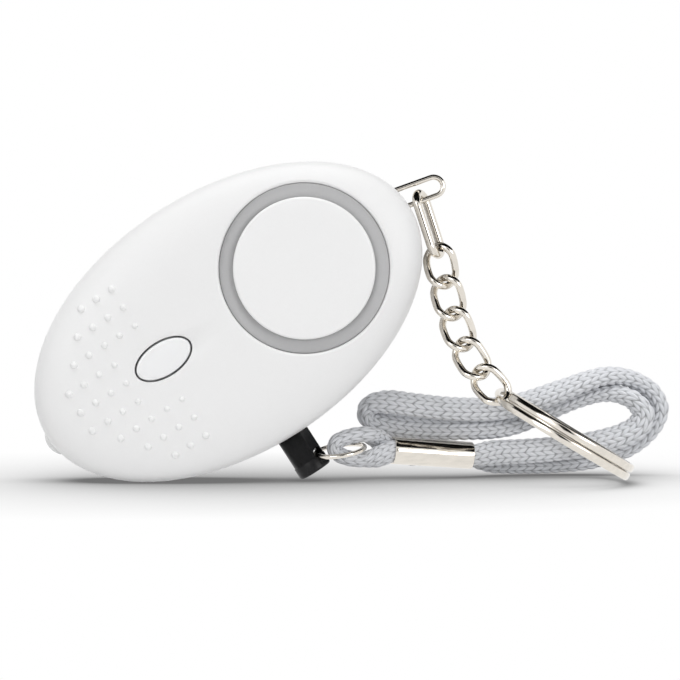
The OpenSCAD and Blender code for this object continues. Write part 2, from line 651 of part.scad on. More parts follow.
module wire_loop() color("silver") in_case() at_loop() {
    bend = loop_out - loop_r - loop_wire / 2;
    for (side = [-1, 1]) {
        translate([bend, 0, side * loop_r]) rotate([0, -90, 0])
            cylinder(d = loop_wire, h = loop_in + bend);
        translate([-loop_in, 0, side * loop_r]) sphere(d = loop_wire);
        translate([-loop_in, 0, side * loop_r]) rotate([side > 0 ? 0 : 180, 0, 0])
            cylinder(d = loop_wire, h = loop_foot);
    }
    translate([bend, 0, 0]) rotate([90, 0, 0]) rotate([0, 0, -90]) rotate_extrude(angle = 180)
        translate([loop_r, 0]) circle(d = loop_wire);
}

module chain_link(k) color("silver") stood()
    tube(wire_rings(link_path(k), (top_wire(k) + low_wire(k)) / 2, wire(k), link_sides, true), true);

module key_ring() color("silver") stood() tube(wire_rings(ring_path, ring_mid, ring_wire, ring_sides, false));

module pull_pin() color("black") in_case() difference() {
    union() {
        translate([pin_x, 0, pin_end]) rotate_extrude() let (r = pin_d / 2, wide = r + collar_step)
            polygon([[0, 0], [wide - pin_round, 0], [wide - pin_round * 0.29, pin_round * 0.29], [wide, pin_round],
                [wide, collar_l], [r, collar_l], [r, pin_shoulder - pin_end], [0, pin_shoulder - pin_end]]);
        translate([pin_x, 0, pin_shoulder]) cylinder(d = prong_d, h = prong_l - prong_d / 2);
        translate([pin_x, 0, pin_tip - prong_d / 2]) sphere(d = prong_d);
    }
    translate([pin_x + cross_off, 0, cross_z]) rotate([90, 0, 0])
        cylinder(d = cross_hole_d, h = 2 * pin_d, center = true);
}

module pin_ring() color("silver") stood() translate(pin_ring_mid) rotate([pin_ring_tip, -pin_ring_lift, 0])
    rotate_extrude($fn = 96) translate([pin_ring_r, 0]) circle(d = pin_ring_wire);

module rounded_slot(w, h) {
    square([h, w - h], center = true);
    for (side = [-1, 1]) translate([0, side * (w - h) / 2]) circle(d = h);
}

module crimp_sleeve() color("silver") stood() translate(sleeve_from) rotate([0, 90 + sleeve_dip, sleeve_yaw])
    linear_extrude(sleeve_l) difference() {
        rounded_slot(bore_w + 2 * sleeve_wall, bore_h + 2 * sleeve_wall);
        rounded_slot(bore_w, bore_h);
    }

module ring_loop() color("darkgray") stood()
    tube(cord_rings(concat([strand(0.5, -1, 90), strand(0, -1, 90)],
        [for (p = ring_route) concat(p, [cord_snug])],
        [strand(0, 1, -90), strand(0.5, 1, -90)])));

module wrist_loop() color("darkgray") stood()
    tube(cord_rings(concat([strand(0.5, 1, 90), strand(1, 1, 90)], wrist_route,
        [strand(1, -1, -90), strand(0.5, -1, -90)])));

front_case();
rear_case();
speaker_ring();
speaker_cover();
piezo_plate();
piezo_ceramic();
sounder_gasket();
piezo_leads();
led_button();
switch_plunger();
button_switch();
led_lens();
led_bulb();
circuit_board();
board_screws();
sound_chip();
step_up_coil();
drive_transistor();
battery_cells();
battery_spring();
battery_plate();
contact_leaf();
leaf_pivot();
fixed_contact();
wire_loop();
chain_link(0);  // connector_link
chain_link(1);  // chain_link_1
chain_link(2);  // chain_link_2
chain_link(3);  // chain_link_3
chain_link(4);  // chain_link_4
chain_link(5);  // chain_link_5
key_ring();
pull_pin();
pin_ring();
crimp_sleeve();
ring_loop();
wrist_loop();
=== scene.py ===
"""Looks of a personal safety alarm: oval white case, pull pin on a braided lanyard, chain and split ring."""
import logging
import math
from dataclasses import dataclass, field
from enum import Enum
from typing import Callable, Sequence

import bmesh
import bpy
from mathutils import Matrix, Vector


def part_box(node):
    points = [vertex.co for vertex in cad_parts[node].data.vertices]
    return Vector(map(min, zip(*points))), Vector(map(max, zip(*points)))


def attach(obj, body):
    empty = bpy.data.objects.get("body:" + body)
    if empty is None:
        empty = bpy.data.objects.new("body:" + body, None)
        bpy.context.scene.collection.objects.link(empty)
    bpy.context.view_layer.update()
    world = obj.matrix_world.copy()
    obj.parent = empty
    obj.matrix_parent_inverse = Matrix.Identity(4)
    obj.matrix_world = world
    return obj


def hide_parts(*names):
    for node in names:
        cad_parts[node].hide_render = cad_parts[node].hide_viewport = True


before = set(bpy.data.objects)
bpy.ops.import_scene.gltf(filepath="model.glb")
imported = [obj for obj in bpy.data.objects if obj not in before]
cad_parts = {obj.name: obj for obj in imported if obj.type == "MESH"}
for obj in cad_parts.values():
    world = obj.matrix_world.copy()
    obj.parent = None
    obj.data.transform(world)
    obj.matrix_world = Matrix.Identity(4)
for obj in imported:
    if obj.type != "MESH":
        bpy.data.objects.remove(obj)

logging.basicConfig(level=logging.INFO, format="%(message)s")
LOG = logging.getLogger("alarm")

MM = 0.001
IMAGE_PX = 680
# Points nearer than this are one point, in metres and in a lathe's own millimetres.
MERGE_M = 1e-7
MERGE_MM = 1e-4
# Growth that closes the button's outline to a point.
CLOSED = -9.0
Faces = tuple[int, int]
Pair = tuple[float, float]
Point = tuple[float, float, float]
Shape = Callable[[float, float], Vector]
Height = Callable[[float, float], float]
Path = Callable[[float], Vector]
Form = Callable[[float], Pair]
Mesh = bmesh.types.BMesh
Node = bpy.types.Node
Socket = bpy.types.NodeSocket
Tree = bpy.types.NodeTree
Inputs = dict[str | int, object]


class Body(Enum):
    """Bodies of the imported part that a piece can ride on."""

    LANYARD = "lanyard"
    CASE = "case"
    BUTTON = "button"
    CONNECTOR = "connector"
    RING = "ring"


def fill(tree: Tree, node: Node, values: Inputs) -> Node:
    """Set inputs of a node: a socket is linked, and any other value is kept in the input.

    Args:
        tree: node tree that holds the node.
        node: the node.
        values: value of each input, by its name or place.

    Returns:
        The same node.
    """
    for key, value in values.items():
        if isinstance(value, bpy.types.NodeSocket):
            tree.links.new(value, node.inputs[key])
        else:
            node.inputs[key].default_value = value
    return node


def add_node(tree: Tree, kind: str, values: Inputs | None = None) -> Node:
    """Add a shader node to a tree and set the inputs that are given."""
    return fill(tree, tree.nodes.new("ShaderNode" + kind), values or {})


def add_math(tree: Tree, operation: str, first: object, second: object) -> Socket:
    """Add a calculation with two values.

    Args:
        tree: node tree that gets it.
        operation: what is worked out.
        first: first value or socket.
        second: second value or socket.

    Returns:
        Socket of the result.
    """
    node = add_node(tree, "Math", {0: first, 1: second})
    node.operation = operation
    return node.outputs["Value"]


def colour_ramp(tree: Tree, value: Socket, ends: Pair, low: Point, high: Point) -> Socket:
    """Add a ramp between two colours.

    Args:
        tree: node tree that gets it.
        value: socket that runs along the ramp.
        ends: values at which the ramp starts and stops.
        low: colour at its start.
        high: colour at its end.

    Returns:
        Socket of the colour.
    """
    ramp = add_node(tree, "ValToRGB", {"Fac": value})
    for stop, at, colour in zip(ramp.color_ramp.elements, ends, (low, high)):
        stop.position = at
        stop.color = (*colour, 1)
    return ramp.outputs["Color"]


@dataclass(frozen=True)
class Finish:
    """A surface with grain: its colour, gloss and fine relief vary over the piece.

    Attributes:
        name: material name.
        colour: linear colour.
        rough: lowest and highest roughness.
        metallic: share of metal.
        grain: size of the grain in millimetres.
        shade: how much darker the grain gets.
        relief: depth of the grain in millimetres.
        specular: specular level of a plastic.
        stretch: scale of the grain along each axis; less than 1 draws it out.
        spread: lowest and highest grain value that the colour changes over.
        detail: levels of finer grain.
        strength: strength of the relief.
    """

    name: str
    colour: Point
    rough: Pair = (0.4, 0.5)
    metallic: float = 0.0
    grain: float = 0.5
    shade: float = 0.03
    relief: float = 0.004
    specular: float = 0.5
    stretch: Point = (1.0, 1.0, 1.0)
    spread: Pair = (0.3, 0.7)
    detail: float = 3.0
    strength: float = 0.6

    def tint(self, share: float) -> Point:
        """Return the colour at a share of its brightness."""
        red, green, blue = self.colour
        return (red * share, green * share, blue * share)

    def material(self) -> bpy.types.Material:
        """Build the node material, or return the one that exists.

        Returns:
            The material.
        """
        title = self.name + "_finish"
        found = bpy.data.materials.get(title)
        if found:
            return found
        mat = bpy.data.materials.new(title)
        mat.use_nodes = True
        tree = mat.node_tree
        shader = tree.nodes["Principled BSDF"]
        coord = add_node(tree, "TexCoord")
        place = add_node(tree, "Mapping", {"Vector": coord.outputs["Object"], "Scale": self.stretch})
        noise = add_node(tree, "TexNoise", {
            "Vector": place.outputs["Vector"], "Scale": 1.0 / (self.grain * MM), "Detail": self.detail})
        grain = noise.outputs["Fac"]
        self.paint(tree, shader, grain)
        gloss = add_node(tree, "MapRange", {"Value": grain, "To Min": self.rough[0], "To Max": self.rough[1]})
        bump = add_node(tree, "Bump", {
            "Height": grain, "Distance": self.relief * MM, "Strength": self.strength})
        fill(tree, shader, {
            "Metallic": self.metallic, "Specular IOR Level": self.specular,
            "Roughness": gloss.outputs["Result"], "Normal": bump.outputs["Normal"]})
        return mat

    def paint(self, tree: Tree, shader: Node, grain: Socket) -> None:
        """Colour the shader from the grain.

        Args:
            tree: node tree of the material.
            shader: its principled shader.
            grain: socket of the grain's value.
        """
        colour = colour_ramp(tree, grain, self.spread, self.tint(1 - self.shade), self.colour)
        fill(tree, shader, {"Base Color": colour})


@dataclass(frozen=True)
class DrawnMetal(Finish):
    """Metal with fine marks drawn out along one axis."""

    stretch: Point = (0.25, 1.0, 1.0)


@dataclass(frozen=True)
class BraidCloth(Finish):
    """Braided cord: shade is painted into the grooves between the stitches, and fibres run along each stitch.

    Attributes:
        groove: share of the brightness that the painted shade leaves in a groove.
        groove_top: heights of a stitch between which the painted groove shade fades.
        sheen: weight and roughness of the fibres' sheen.
    """

    groove: float = 0.34
    groove_top: Pair = (0.05, 0.5)
    sheen: Pair = (0.25, 0.4)

    def paint(self, tree: Tree, shader: Node, grain: Socket) -> None:
        """Colour the shader from the fibres, and paint shade into the grooves from the height of the
        stitches.

        Args:
            tree: node tree of the material.
            shader: its principled shader.
            grain: socket of the grain's value.
        """
        height = add_node(tree, "Attribute")
        height.attribute_name = "stitch"
        # Painted shade: the colour darkens from the top of a stitch down into the groove.
        painted_shade_colour = self.tint(self.groove)
        colour = colour_ramp(tree, height.outputs["Fac"], self.groove_top, painted_shade_colour, self.colour)
        fibre = add_node(tree, "MapRange", {"Value": grain, "To Min": 1.0 - self.shade, "To Max": 1.0})
        shaded = add_node(tree, "VectorMath")
        shaded.operation = "SCALE"
        fill(tree, shaded, {0: colour, "Scale": fibre.outputs["Result"]})
        fill(tree, shader, {
            "Base Color": shaded.outputs["Vector"],
            "Sheen Weight": self.sheen[0], "Sheen Roughness": self.sheen[1]})


@dataclass(frozen=True)
class ClearPlastic(Finish):
    """Clear moulded plastic with a painted dark rim: its colour is painted darker where the eye sees along
    its surface.

    Attributes:
        rim: turns away from the eye between which the painted rim shade sets in.
        rim_shade: share of the brightness that the painted rim shade leaves past them.
        clear: share of light that goes through.
        bend: index of refraction.
    """

    rim: Pair = (0.8, 0.93)
    rim_shade: float = 0.12
    clear: float = 0.12
    bend: float = 1.3

    def paint(self, tree: Tree, shader: Node, grain: Socket) -> None:
        """Colour the shader with a painted dark rim, and let light through it.

        Args:
            tree: node tree of the material.
            shader: its principled shader.
            grain: socket of the grain's value, which doesn't colour clear plastic; not used.
        """
        # Painted shade: the colour turns dark where the surface turns away from the eye.
        facing = add_node(tree, "LayerWeight")
        painted_shade_colour = self.tint(self.rim_shade)
        colour = colour_ramp(tree, facing.outputs["Facing"], self.rim, self.colour, painted_shade_colour)
        fill(tree, shader, {"Base Color": colour, "Transmission Weight": self.clear, "IOR": self.bend})


CASE_WHITE = Finish("case_white", (0.9, 0.9, 0.9), (0.36, 0.46), grain=0.35, shade=0.012, relief=0.003)
COVER_WHITE = Finish("cover_white", (0.93, 0.93, 0.93), (0.36, 0.44), grain=0.3, shade=0.012, relief=0.003)
RING_GREY = Finish("ring_grey", (0.52, 0.52, 0.525), (0.34, 0.42), grain=0.3, shade=0.03, relief=0.003)
BUTTON_WHITE = Finish("button_white", (0.93, 0.935, 0.94), (0.28, 0.36), grain=0.3, shade=0.01, relief=0.002)
PIN_BLACK = Finish(
    "pin_black", (0.012, 0.012, 0.013), (0.3, 0.42), grain=0.3, shade=0.3, relief=0.004, specular=0.22)
NICKEL = DrawnMetal(
    "nickel", (0.8, 0.755, 0.685), (0.07, 0.17), metallic=1.0, grain=0.8, shade=0.1, relief=0.003)
CORD_GREY = BraidCloth("cord_grey", (0.84, 0.855, 0.89), (0.6, 0.8), grain=0.12, shade=0.16, relief=0.03)
LENS_CLEAR = ClearPlastic("lens_clear", (0.97, 0.975, 0.975), (0.03, 0.08), grain=1.0, relief=0.001)
HIDDEN = {
    Finish("brass", (0.62, 0.42, 0.14), (0.2, 0.35), metallic=1.0, grain=0.6, shade=0.15):
        ("piezo_plate", "contact_leaf", "fixed_contact"),
    DrawnMetal("contact_plate", (0.66, 0.6, 0.42), (0.2, 0.3), metallic=1.0, shade=0.1):
        ("battery_spring", "battery_plate"),
    DrawnMetal("cell_steel", (0.62, 0.63, 0.64), (0.2, 0.32), metallic=1.0, grain=0.4, shade=0.12):
        ("battery_cells", "board_screws", "leaf_pivot"),
    Finish("ceramic", (0.72, 0.7, 0.66), (0.4, 0.6), grain=0.2, shade=0.1): ("piezo_ceramic",),
    Finish("foam", (0.03, 0.03, 0.03), (0.8, 0.95), grain=0.25, shade=0.5, relief=0.08): ("sounder_gasket",),
    Finish("lead_red", (0.45, 0.02, 0.02), (0.4, 0.5), grain=0.3, shade=0.1): ("piezo_leads",),
    Finish("moulded_black", (0.02, 0.02, 0.02), (0.45, 0.6), grain=0.2, shade=0.2, relief=0.01):
        ("switch_plunger", "sound_chip", "drive_transistor", "button_switch"),
    Finish("board_green", (0.02, 0.16, 0.06), (0.3, 0.45), grain=1.2, shade=0.25, relief=0.006):
        ("circuit_board",),
    Finish("coil_copper", (0.4, 0.16, 0.06), (0.3, 0.45), metallic=1.0, grain=0.2, shade=0.3, relief=0.02):
        ("step_up_coil",),
    ClearPlastic("led_clear", (0.9, 0.92, 0.9), (0.05, 0.1), grain=0.6, relief=0.001): ("led_bulb",),
}


def add_mesh(bm: Mesh, name: str) -> bpy.types.Object:
    """Put a bmesh into the scene.

    Args:
        bm: the shape in the row frame, in metres; it is freed.
        name: name of the object and its mesh.

    Returns:
        The new object.
    """
    mesh = bpy.data.meshes.new(name)
    bm.to_mesh(mesh)
    bm.free()
    thing = bpy.data.objects.new(name, mesh)
    bpy.context.scene.collection.objects.link(thing)
    return thing


def finish_piece(
    bm: Mesh, name: str, body: str, finish: Finish, nodes: Sequence[str] = ()
) -> bpy.types.Object:
    """Turn a finished bmesh into a piece of the part.

    Args:
        bm: the shape in the row frame, in metres; it is freed.
        name: object name.
        body: body that the piece rides on.
        finish: its surface.
        nodes: solids that the piece stands for.

    Returns:
        The new object.
    """
    piece = add_mesh(bm, name)
    mesh = piece.data
    for face in mesh.polygons:
        face.use_smooth = True
    mesh.materials.append(finish.material())
    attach(piece, body)
    if nodes:
        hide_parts(*nodes)
    LOG.info("%s: %d faces on %s", name, len(mesh.polygons), body)
    return piece


def wrap(shape: Shape, around: int, along: int, layer: str = "", height: Height | None = None) -> Mesh:
    """Bend a flat grid into a surface, and close its seams and poles.

    Args:
        shape: place of a point from its shares around and along, each from 0 to 1.
        around: faces in the first direction.
        along: faces in the second direction.
        layer: name of a value kept for each point, if any.
        height: that value from the same two shares.

    Returns:
        The surface, with its faces turned outwards.
    """
    bm = bmesh.new()
    bmesh.ops.create_grid(bm, x_segments=around, y_segments=along, size=1.0)
    values = bm.verts.layers.float.new(layer) if layer else None
    for v in bm.verts:
        a, b = (v.co.x + 1) / 2, (v.co.y + 1) / 2
        if values and height:
            v[values] = height(a, b)
        v.co = shape(a, b)
    bmesh.ops.remove_doubles(bm, verts=bm.verts, dist=MERGE_M)
    bmesh.ops.recalc_face_normals(bm, faces=bm.faces)
    return bm


def lathe(profile: Sequence[Pair], place: Matrix, steps: int) -> Mesh:
    """Spin a profile about the local Z axis.

    Args:
        profile: radius and height of each point in millimetres, from the axis back to the axis.
        place: matrix from the local frame in millimetres to the row frame in metres.
        steps: faces around.

    Returns:
        The closed surface in the row frame.
    """
    bm = bmesh.new()
    points = [bm.verts.new((r, 0, z)) for r, z in profile]
    edges = [bm.edges.new(pair) for pair in zip(points, points[1:])]
    bmesh.ops.spin(
        bm, geom=points + edges, cent=(0, 0, 0), axis=(0, 0, 1), angle=math.tau, steps=steps, use_merge=True)
    bmesh.ops.remove_doubles(bm, verts=bm.verts, dist=MERGE_MM)
    bmesh.ops.recalc_face_normals(bm, faces=bm.faces)
    bmesh.ops.transform(bm, matrix=place, verts=bm.verts)
    return bm


def arc(r: float, z: float, size: float, start: float, end: float, steps: int) -> list[Pair]:
    """Points of a rounded edge in a lathe profile.

    Args:
        r: radius of the edge's centre.
        z: height of the edge's centre.
        size: radius of the round.
        start: first angle in degrees, from the outward direction.
        end: last angle in degrees.
        steps: pieces of the round.

    Returns:
        Radius and height of each point.
    """
    turns = [math.radians(start + (end - start) * i / steps) for i in range(steps + 1)]
    return [(r + size * math.cos(q), z + size * math.sin(q)) for q in turns]


def cut(piece: bpy.types.Object, cutters: Sequence[Mesh]) -> None:
    """Cut shapes out of a piece.

    Args:
        piece: object that is cut.
        cutters: closed shapes in the row frame; they are freed.
    """
    for bm in cutters:
        tool = add_mesh(bm, "cutter")
        step = piece.modifiers.new("cut", "BOOLEAN")
        step.object = tool
        step.solver = "MANIFOLD"
        graph = bpy.context.evaluated_depsgraph_get()
        made = bpy.data.meshes.new_from_object(piece.evaluated_get(graph))
        piece.modifiers.clear()
        spent = (piece.data, tool.data)
        piece.data = made
        bpy.data.objects.remove(tool)
        for mesh in spent:
            bpy.data.meshes.remove(mesh)


def radians_of(*degrees: float) -> list[float]:
    """Return angles in radians."""
    return [math.radians(d) for d in degrees]


def unit_cross(a: Vector, b: Vector) -> Vector:
    """Return the unit vector square to two vectors."""
    return a.cross(b).normalized()


@dataclass
class Route:
    """A smooth line through points with extra values, walked at an even step.

    Attributes:
        points: place in millimetres, then any other values that change along the line.
        fine_steps: points that are worked out in each stretch.
    """

    points: Sequence[Sequence[float]]
    fine_steps: int = 24

    def walk(self, step: float) -> list[list[float]]:
        """Return points at an even step along the smooth line.

        Args:
            step: distance between points in millimetres.

        Returns:
            Points with their interpolated values.
        """
        fine = self.fine()
        lengths = [0.0]
        for a, b in zip(fine, fine[1:]):
            lengths.append(lengths[-1] + math.dist(a[:3], b[:3]))
        count = round(lengths[-1] / step)
        spots = []
        k = 0
        for i in range(count + 1):
            at = lengths[-1] * i / count
            while k < len(fine) - 2 and lengths[k + 1] < at:
                k += 1
            share = (at - lengths[k]) / max(lengths[k + 1] - lengths[k], 1e-9)
            spots.append([p + (q - p) * share for p, q in zip(fine[k], fine[k + 1])])
        return spots

    def fine(self) -> list[list[float]]:
        """Return many points, with their values, of a cubic line through the route.

        Returns:
            The points in order.
        """
        pts = [list(p) for p in self.points]
        gaps = [math.dist(a[:3], b[:3]) for a, b in zip(pts, pts[1:])]
        slopes = [[(b - a) / g for a, b in zip(p, q)] for p, q, g in zip(pts, pts[1:], gaps)]
        bends = [slopes[0]]
        for i in range(1, len(pts) - 1):
            whole = gaps[i - 1] + gaps[i]
            bends.append([(m * gaps[i] + n * gaps[i - 1]) / whole for m, n in zip(slopes[i - 1], slopes[i])])
        bends.append(slopes[-1])
        out = []
        for i, g in enumerate(gaps):
            for j in range(self.fine_steps):
                t = j / self.fine_steps
                leave = (2 * t**3 - 3 * t**2 + 1, (t**3 - 2 * t**2 + t) * g)
                reach = (3 * t**2 - 2 * t**3, (t**3 - t**2) * g)
                out.append([leave[0] * a + leave[1] * m + reach[0] * b + reach[1] * n
                            for a, m, b, n in zip(pts[i], bends[i], pts[i + 1], bends[i + 1])])
        return out + [pts[-1]]


@dataclass
class Case:
    """The oval case: both halves, grip dots, sounder, button, light lens and the holes in them.

    Sizes are millimetres in the case's own frame: x along it, y to the rear and z up across it.

    Attributes:
        front_rows: rows of faces up the recess's wall, over its lip, across the face and into the seam.
        cover_crown: share of the radius and rise of each point across the cover's top.
        button_foot: growth of the outline and height of each level below the button's wall.
        button_crown: growth of the outline and rise of each level on its top.
        hole_flare: growth in lips and rise of each level of the hole's mouth.
        dot_rows: place along the case of each row's first dot, and the count of its dots.
        dot_grow: how a dot's radius grows with its share of the way out, and where that starts.
        dot_rise: height of a dot in the middle, and what is added on the way out.
    """

    half_l: float = 33.4
    half_w: float = 20.35
    half_t: float = 8.5
    wall: float = 1.6
    shell_share: float = 0.6
    power: float = 5.0
    rear_flat: float = 0.3
    rear_ease: float = 0.06
    rear_bend: float = 0.6
    rear_rim: float = 0.97
    seam_half: float = 0.12
    seam_tuck: float = 0.004
    front_around: int = 180
    front_rows: tuple[int, int, int, int] = (2, 8, 46, 2)
    rear_faces: Faces = (144, 60)
    tilt: float = 32.8
    fit: float = 0.05
    speaker: Pair = (14.5, 0.6)
    recess_r: float = 13.15
    recess_floor: float = 7.1
    recess_skirt: float = 0.5
    lip: float = 0.45
    ring_deep: float = 1.8
    ring_in: float = 1.9
    ring_edge: float = 0.12
    cover_r: float = 10.95
    cover_top: float = 8.3
    cover_deep: float = 0.9
    cover_seat: float = 0.02
    cover_soft: float = 0.4
    cover_crown: tuple[Pair, ...] = ((0.7, 0.02), (0.35, 0.03), (0.0, 0.03))
    sounder_steps: int = 144
    button_at: Pair = (-11.2, 0.6)
    button_half: Pair = (4.65, 2.5)
    button_gap: float = 0.3
    button_lip: float = 0.22
    button_rise: float = 0.1
    button_soft: float = 0.35
    button_foot: tuple[Pair, ...] = ((CLOSED, 4.5), (0.8, 5.85), (0.8, 6.6), (0.0, 6.6))
    button_crown: tuple[Pair, ...] = ((-1.2, 0.03), (CLOSED, 0.05))
    button_steps: int = 96
    hole_floor: float = 5.0
    hole_flare: tuple[Pair, ...] = ((1.4, 0.06), (1.6, 0.5))
    pin_x: float = -1.25
    pin_r: float = 2.6
    pin_slip: float = 0.08
    pin_lip: float = 0.2
    pin_cut: float = 3.0
    pin_flare: float = 2.0
    pin_steps: int = 64
    slot: Point = (2.6, 1.8, 1.9)
    slot_round: float = 0.25
    slot_front: float = 0.1
    slot_turn: float = -72.4
    led_drop: float = 1.0
    lens_r: float = 2.2
    lens_rise: float = 0.9
    lens_flange: float = 0.7
    lens_foot: Pair = (-3.3, -2.6)
    lens_steps: Faces = (48, 10)
    dot_rows: tuple[tuple[float, int], ...] = (
        (-12.1, 3), (-12.1, 4), (-12.1, 5), (-18.0, 4), (-18.0, 4), (-18.0, 4),
        (-12.1, 5), (-12.1, 4), (-12.1, 3))
    dot_top: float = 13.9
    dot_step: Pair = (2.8, 3.34)
    dot_r: float = 0.42
    dot_grow: Pair = (0.5, 0.45)
    dot_rise: Pair = (0.36, 0.1)
    dot_faces: Faces = (16, 10)
    dot_near: float = 0.1

    def middle(self) -> Vector:
        """Return the middle of the case in the row frame, in millimetres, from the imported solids."""
        turn = math.radians(self.tilt)
        reach = math.hypot(self.half_l * math.cos(turn), self.half_w * math.sin(turn))
        height = math.hypot(self.half_l * math.sin(turn), self.half_w * math.cos(turn))
        low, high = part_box("rear_case")
        return Vector((low.x / MM + reach, high.y / MM - self.half_t + self.rear_flat, height))

    def frame(self) -> Matrix:
        """Return the matrix from the case's frame in millimetres to the row frame in metres."""
        turn = Matrix.Rotation(math.radians(-self.tilt), 4, "Y")
        return Matrix.Scale(MM, 4) @ Matrix.Translation(self.middle()) @ turn

    def facing(self, x: float, z: float) -> Matrix:
        """Return the frame of a round piece whose axis points out of the face.

        Args:
            x: place along the case.
            z: place across the case.

        Returns:
            Matrix to the row frame.
        """
        return self.frame() @ Matrix.Translation((x, 0, z)) @ Matrix.Rotation(math.pi / 2, 4, "X")

    def skin(self, x: float, z: float) -> float:
        """Return how far the face stands in front of the seam at a place."""
        share = math.hypot(x / self.half_l, z / self.half_w)
        return self.half_t * max(1 - share**self.power, 0) ** (1 / self.power)

    def rolled(self, q: float) -> Pair:
        """Return the shares of reach and height at an angle of the rolled edge."""
        return (max(math.cos(q), 0) ** (2 / self.power), max(math.sin(q), 0) ** (2 / self.power))

    def front_shape(self) -> Shape:
        """Return the front skin: out of the recess, over its lip and across the face to the seam."""
        place = self.frame()
        sx, sz = self.speaker
        wall_rows, lip_rows, face_rows, tuck_rows = self.front_rows
        over_lip = wall_rows + lip_rows
        total = sum(self.front_rows)
        edge = self.recess_r + self.lip
        low, skirt = self.recess_floor, self.recess_skirt

        def shape(a: float, b: float) -> Vector:
            turn = math.tau * a
            dx, dz = math.cos(turn), math.sin(turn)
            k = b * total
            top = self.skin(sx + edge * dx, sz + edge * dz)
            if k <= wall_rows:
                r, f = self.recess_r, low - skirt + (top - self.lip - low + skirt) * k / wall_rows
            elif k <= over_lip:
                q = math.pi / 2 * (k - wall_rows) / lip_rows
                r, f = edge - self.lip * math.cos(q), top - self.lip + self.lip * math.sin(q)
            else:
                start = math.hypot((sx + edge * dx) / self.half_l, (sz + edge * dz) / self.half_w)
                first = math.acos(min(start ** (self.power / 2), 1))
                step = min((k - over_lip) / face_rows, 1)
                share, rise = self.rolled(first * (1 - step))
                tuck = max(k - over_lip - face_rows, 0) / tuck_rows
                share -= self.seam_tuck * tuck
                qa = (dx / self.half_l) ** 2 + (dz / self.half_w) ** 2
                qb = 2 * (sx * dx / self.half_l**2 + sz * dz / self.half_w**2)
                qc = (sx / self.half_l) ** 2 + (sz / self.half_w) ** 2 - share**2
                r = (math.sqrt(qb * qb - 4 * qa * qc) - qb) / (2 * qa)
                f = max(self.half_t * rise, self.seam_half * (1 - tuck))
            return place @ Vector((sx + r * dx, -f, sz + r * dz))

        return shape

    def rear_shape(self) -> Shape:
        """Return the rear skin: from the middle of the flat back round the edge to the seam."""
        place = self.frame()
        flat = self.half_t - self.rear_flat

        def shape(a: float, b: float) -> Vector:
            turn = math.tau * a
            share, rise = self.rolled(math.pi / 2 * (1 - min(b / self.rear_rim, 1)))
            tuck = max(b - self.rear_rim, 0) / (1 - self.rear_rim)
            share -= self.seam_tuck * tuck
            height = max(self.half_t * rise, self.seam_half * (1 - tuck))
            if height > flat - self.rear_bend:
                height = flat - math.log1p(math.exp((flat - height) / self.rear_ease)) * self.rear_ease
            x, z = share * self.half_l * math.cos(turn), share * self.half_w * math.sin(turn)
            return place @ Vector((x, height, z))

        return shape

    def oval(self, levels: Sequence[Pair]) -> Mesh:
        """Build a closed plug with the button's outline.

        Args:
            levels: growth of the outline and height of each level, from one pole to the other.

        Returns:
            The plug in the row frame.
        """
        place = self.facing(*self.button_at)
        length, width = self.button_half
        last = len(levels) - 1

        def shape(a: float, b: float) -> Vector:
            grow, f = levels[round(b * last)]
            turn = math.tau * a
            x, z = max(length + grow, 0), max(width + grow, 0)
            return place @ Vector((x * math.cos(turn), z * math.sin(turn), f))

        return wrap(shape, self.button_steps, last)

    def button_cutter(self) -> Mesh:
        """Return the cutter of the button's hole, with a small rounded lip."""
        top = self.skin(*self.button_at)
        gap, lip = self.button_gap, self.button_lip
        levels = [(CLOSED, self.hole_floor), (gap, self.hole_floor), (gap, top - lip)]
        levels += [(gap + lip - lip * math.cos(q), top - lip + lip * math.sin(q))
                   for q in radians_of(20, 40, 60, 75)]
        levels += [(gap + lip * grow, top + rise) for grow, rise in self.hole_flare]
        return self.oval([*levels, (CLOSED, levels[-1][1])])

    def pin_cutter(self) -> Mesh:
        """Return the cutter of the pin's hole in the rim."""
        place = self.frame() @ Matrix.Translation((self.pin_x, 0, -self.half_w))
        r, lip, deep = self.pin_r + self.pin_slip, self.pin_lip, self.pin_cut
        profile = [(0, -deep), (r + lip + self.pin_flare, -deep), (r + lip, -self.fit)]
        profile += [(r + lip * 0.3, lip * 0.4), (r, lip), (r, deep), (0, deep)]
        return lathe(profile, place, self.pin_steps)

    def slot_cutter(self) -> Mesh:
        """Return the cutter of the opening slot in the seam."""
        turn = math.radians(self.slot_turn)
        x, z = self.half_l * math.cos(turn), self.half_w * math.sin(turn)
        lean = math.atan2(self.half_w * math.cos(turn), -self.half_l * math.sin(turn))
        bm = bmesh.new()
        bmesh.ops.create_cube(bm, size=1.0)
        bmesh.ops.scale(bm, vec=self.slot, verts=bm.verts)
        bmesh.ops.bevel(
            bm, geom=bm.edges[:], offset=self.slot_round, segments=2, profile=0.5,
            affect="EDGES", material=-1)
        place = self.frame() @ Matrix.Translation((x, -self.slot_front, z)) @ Matrix.Rotation(-lean, 4, "Y")
        bmesh.ops.transform(bm, matrix=place, verts=bm.verts)
        return bm

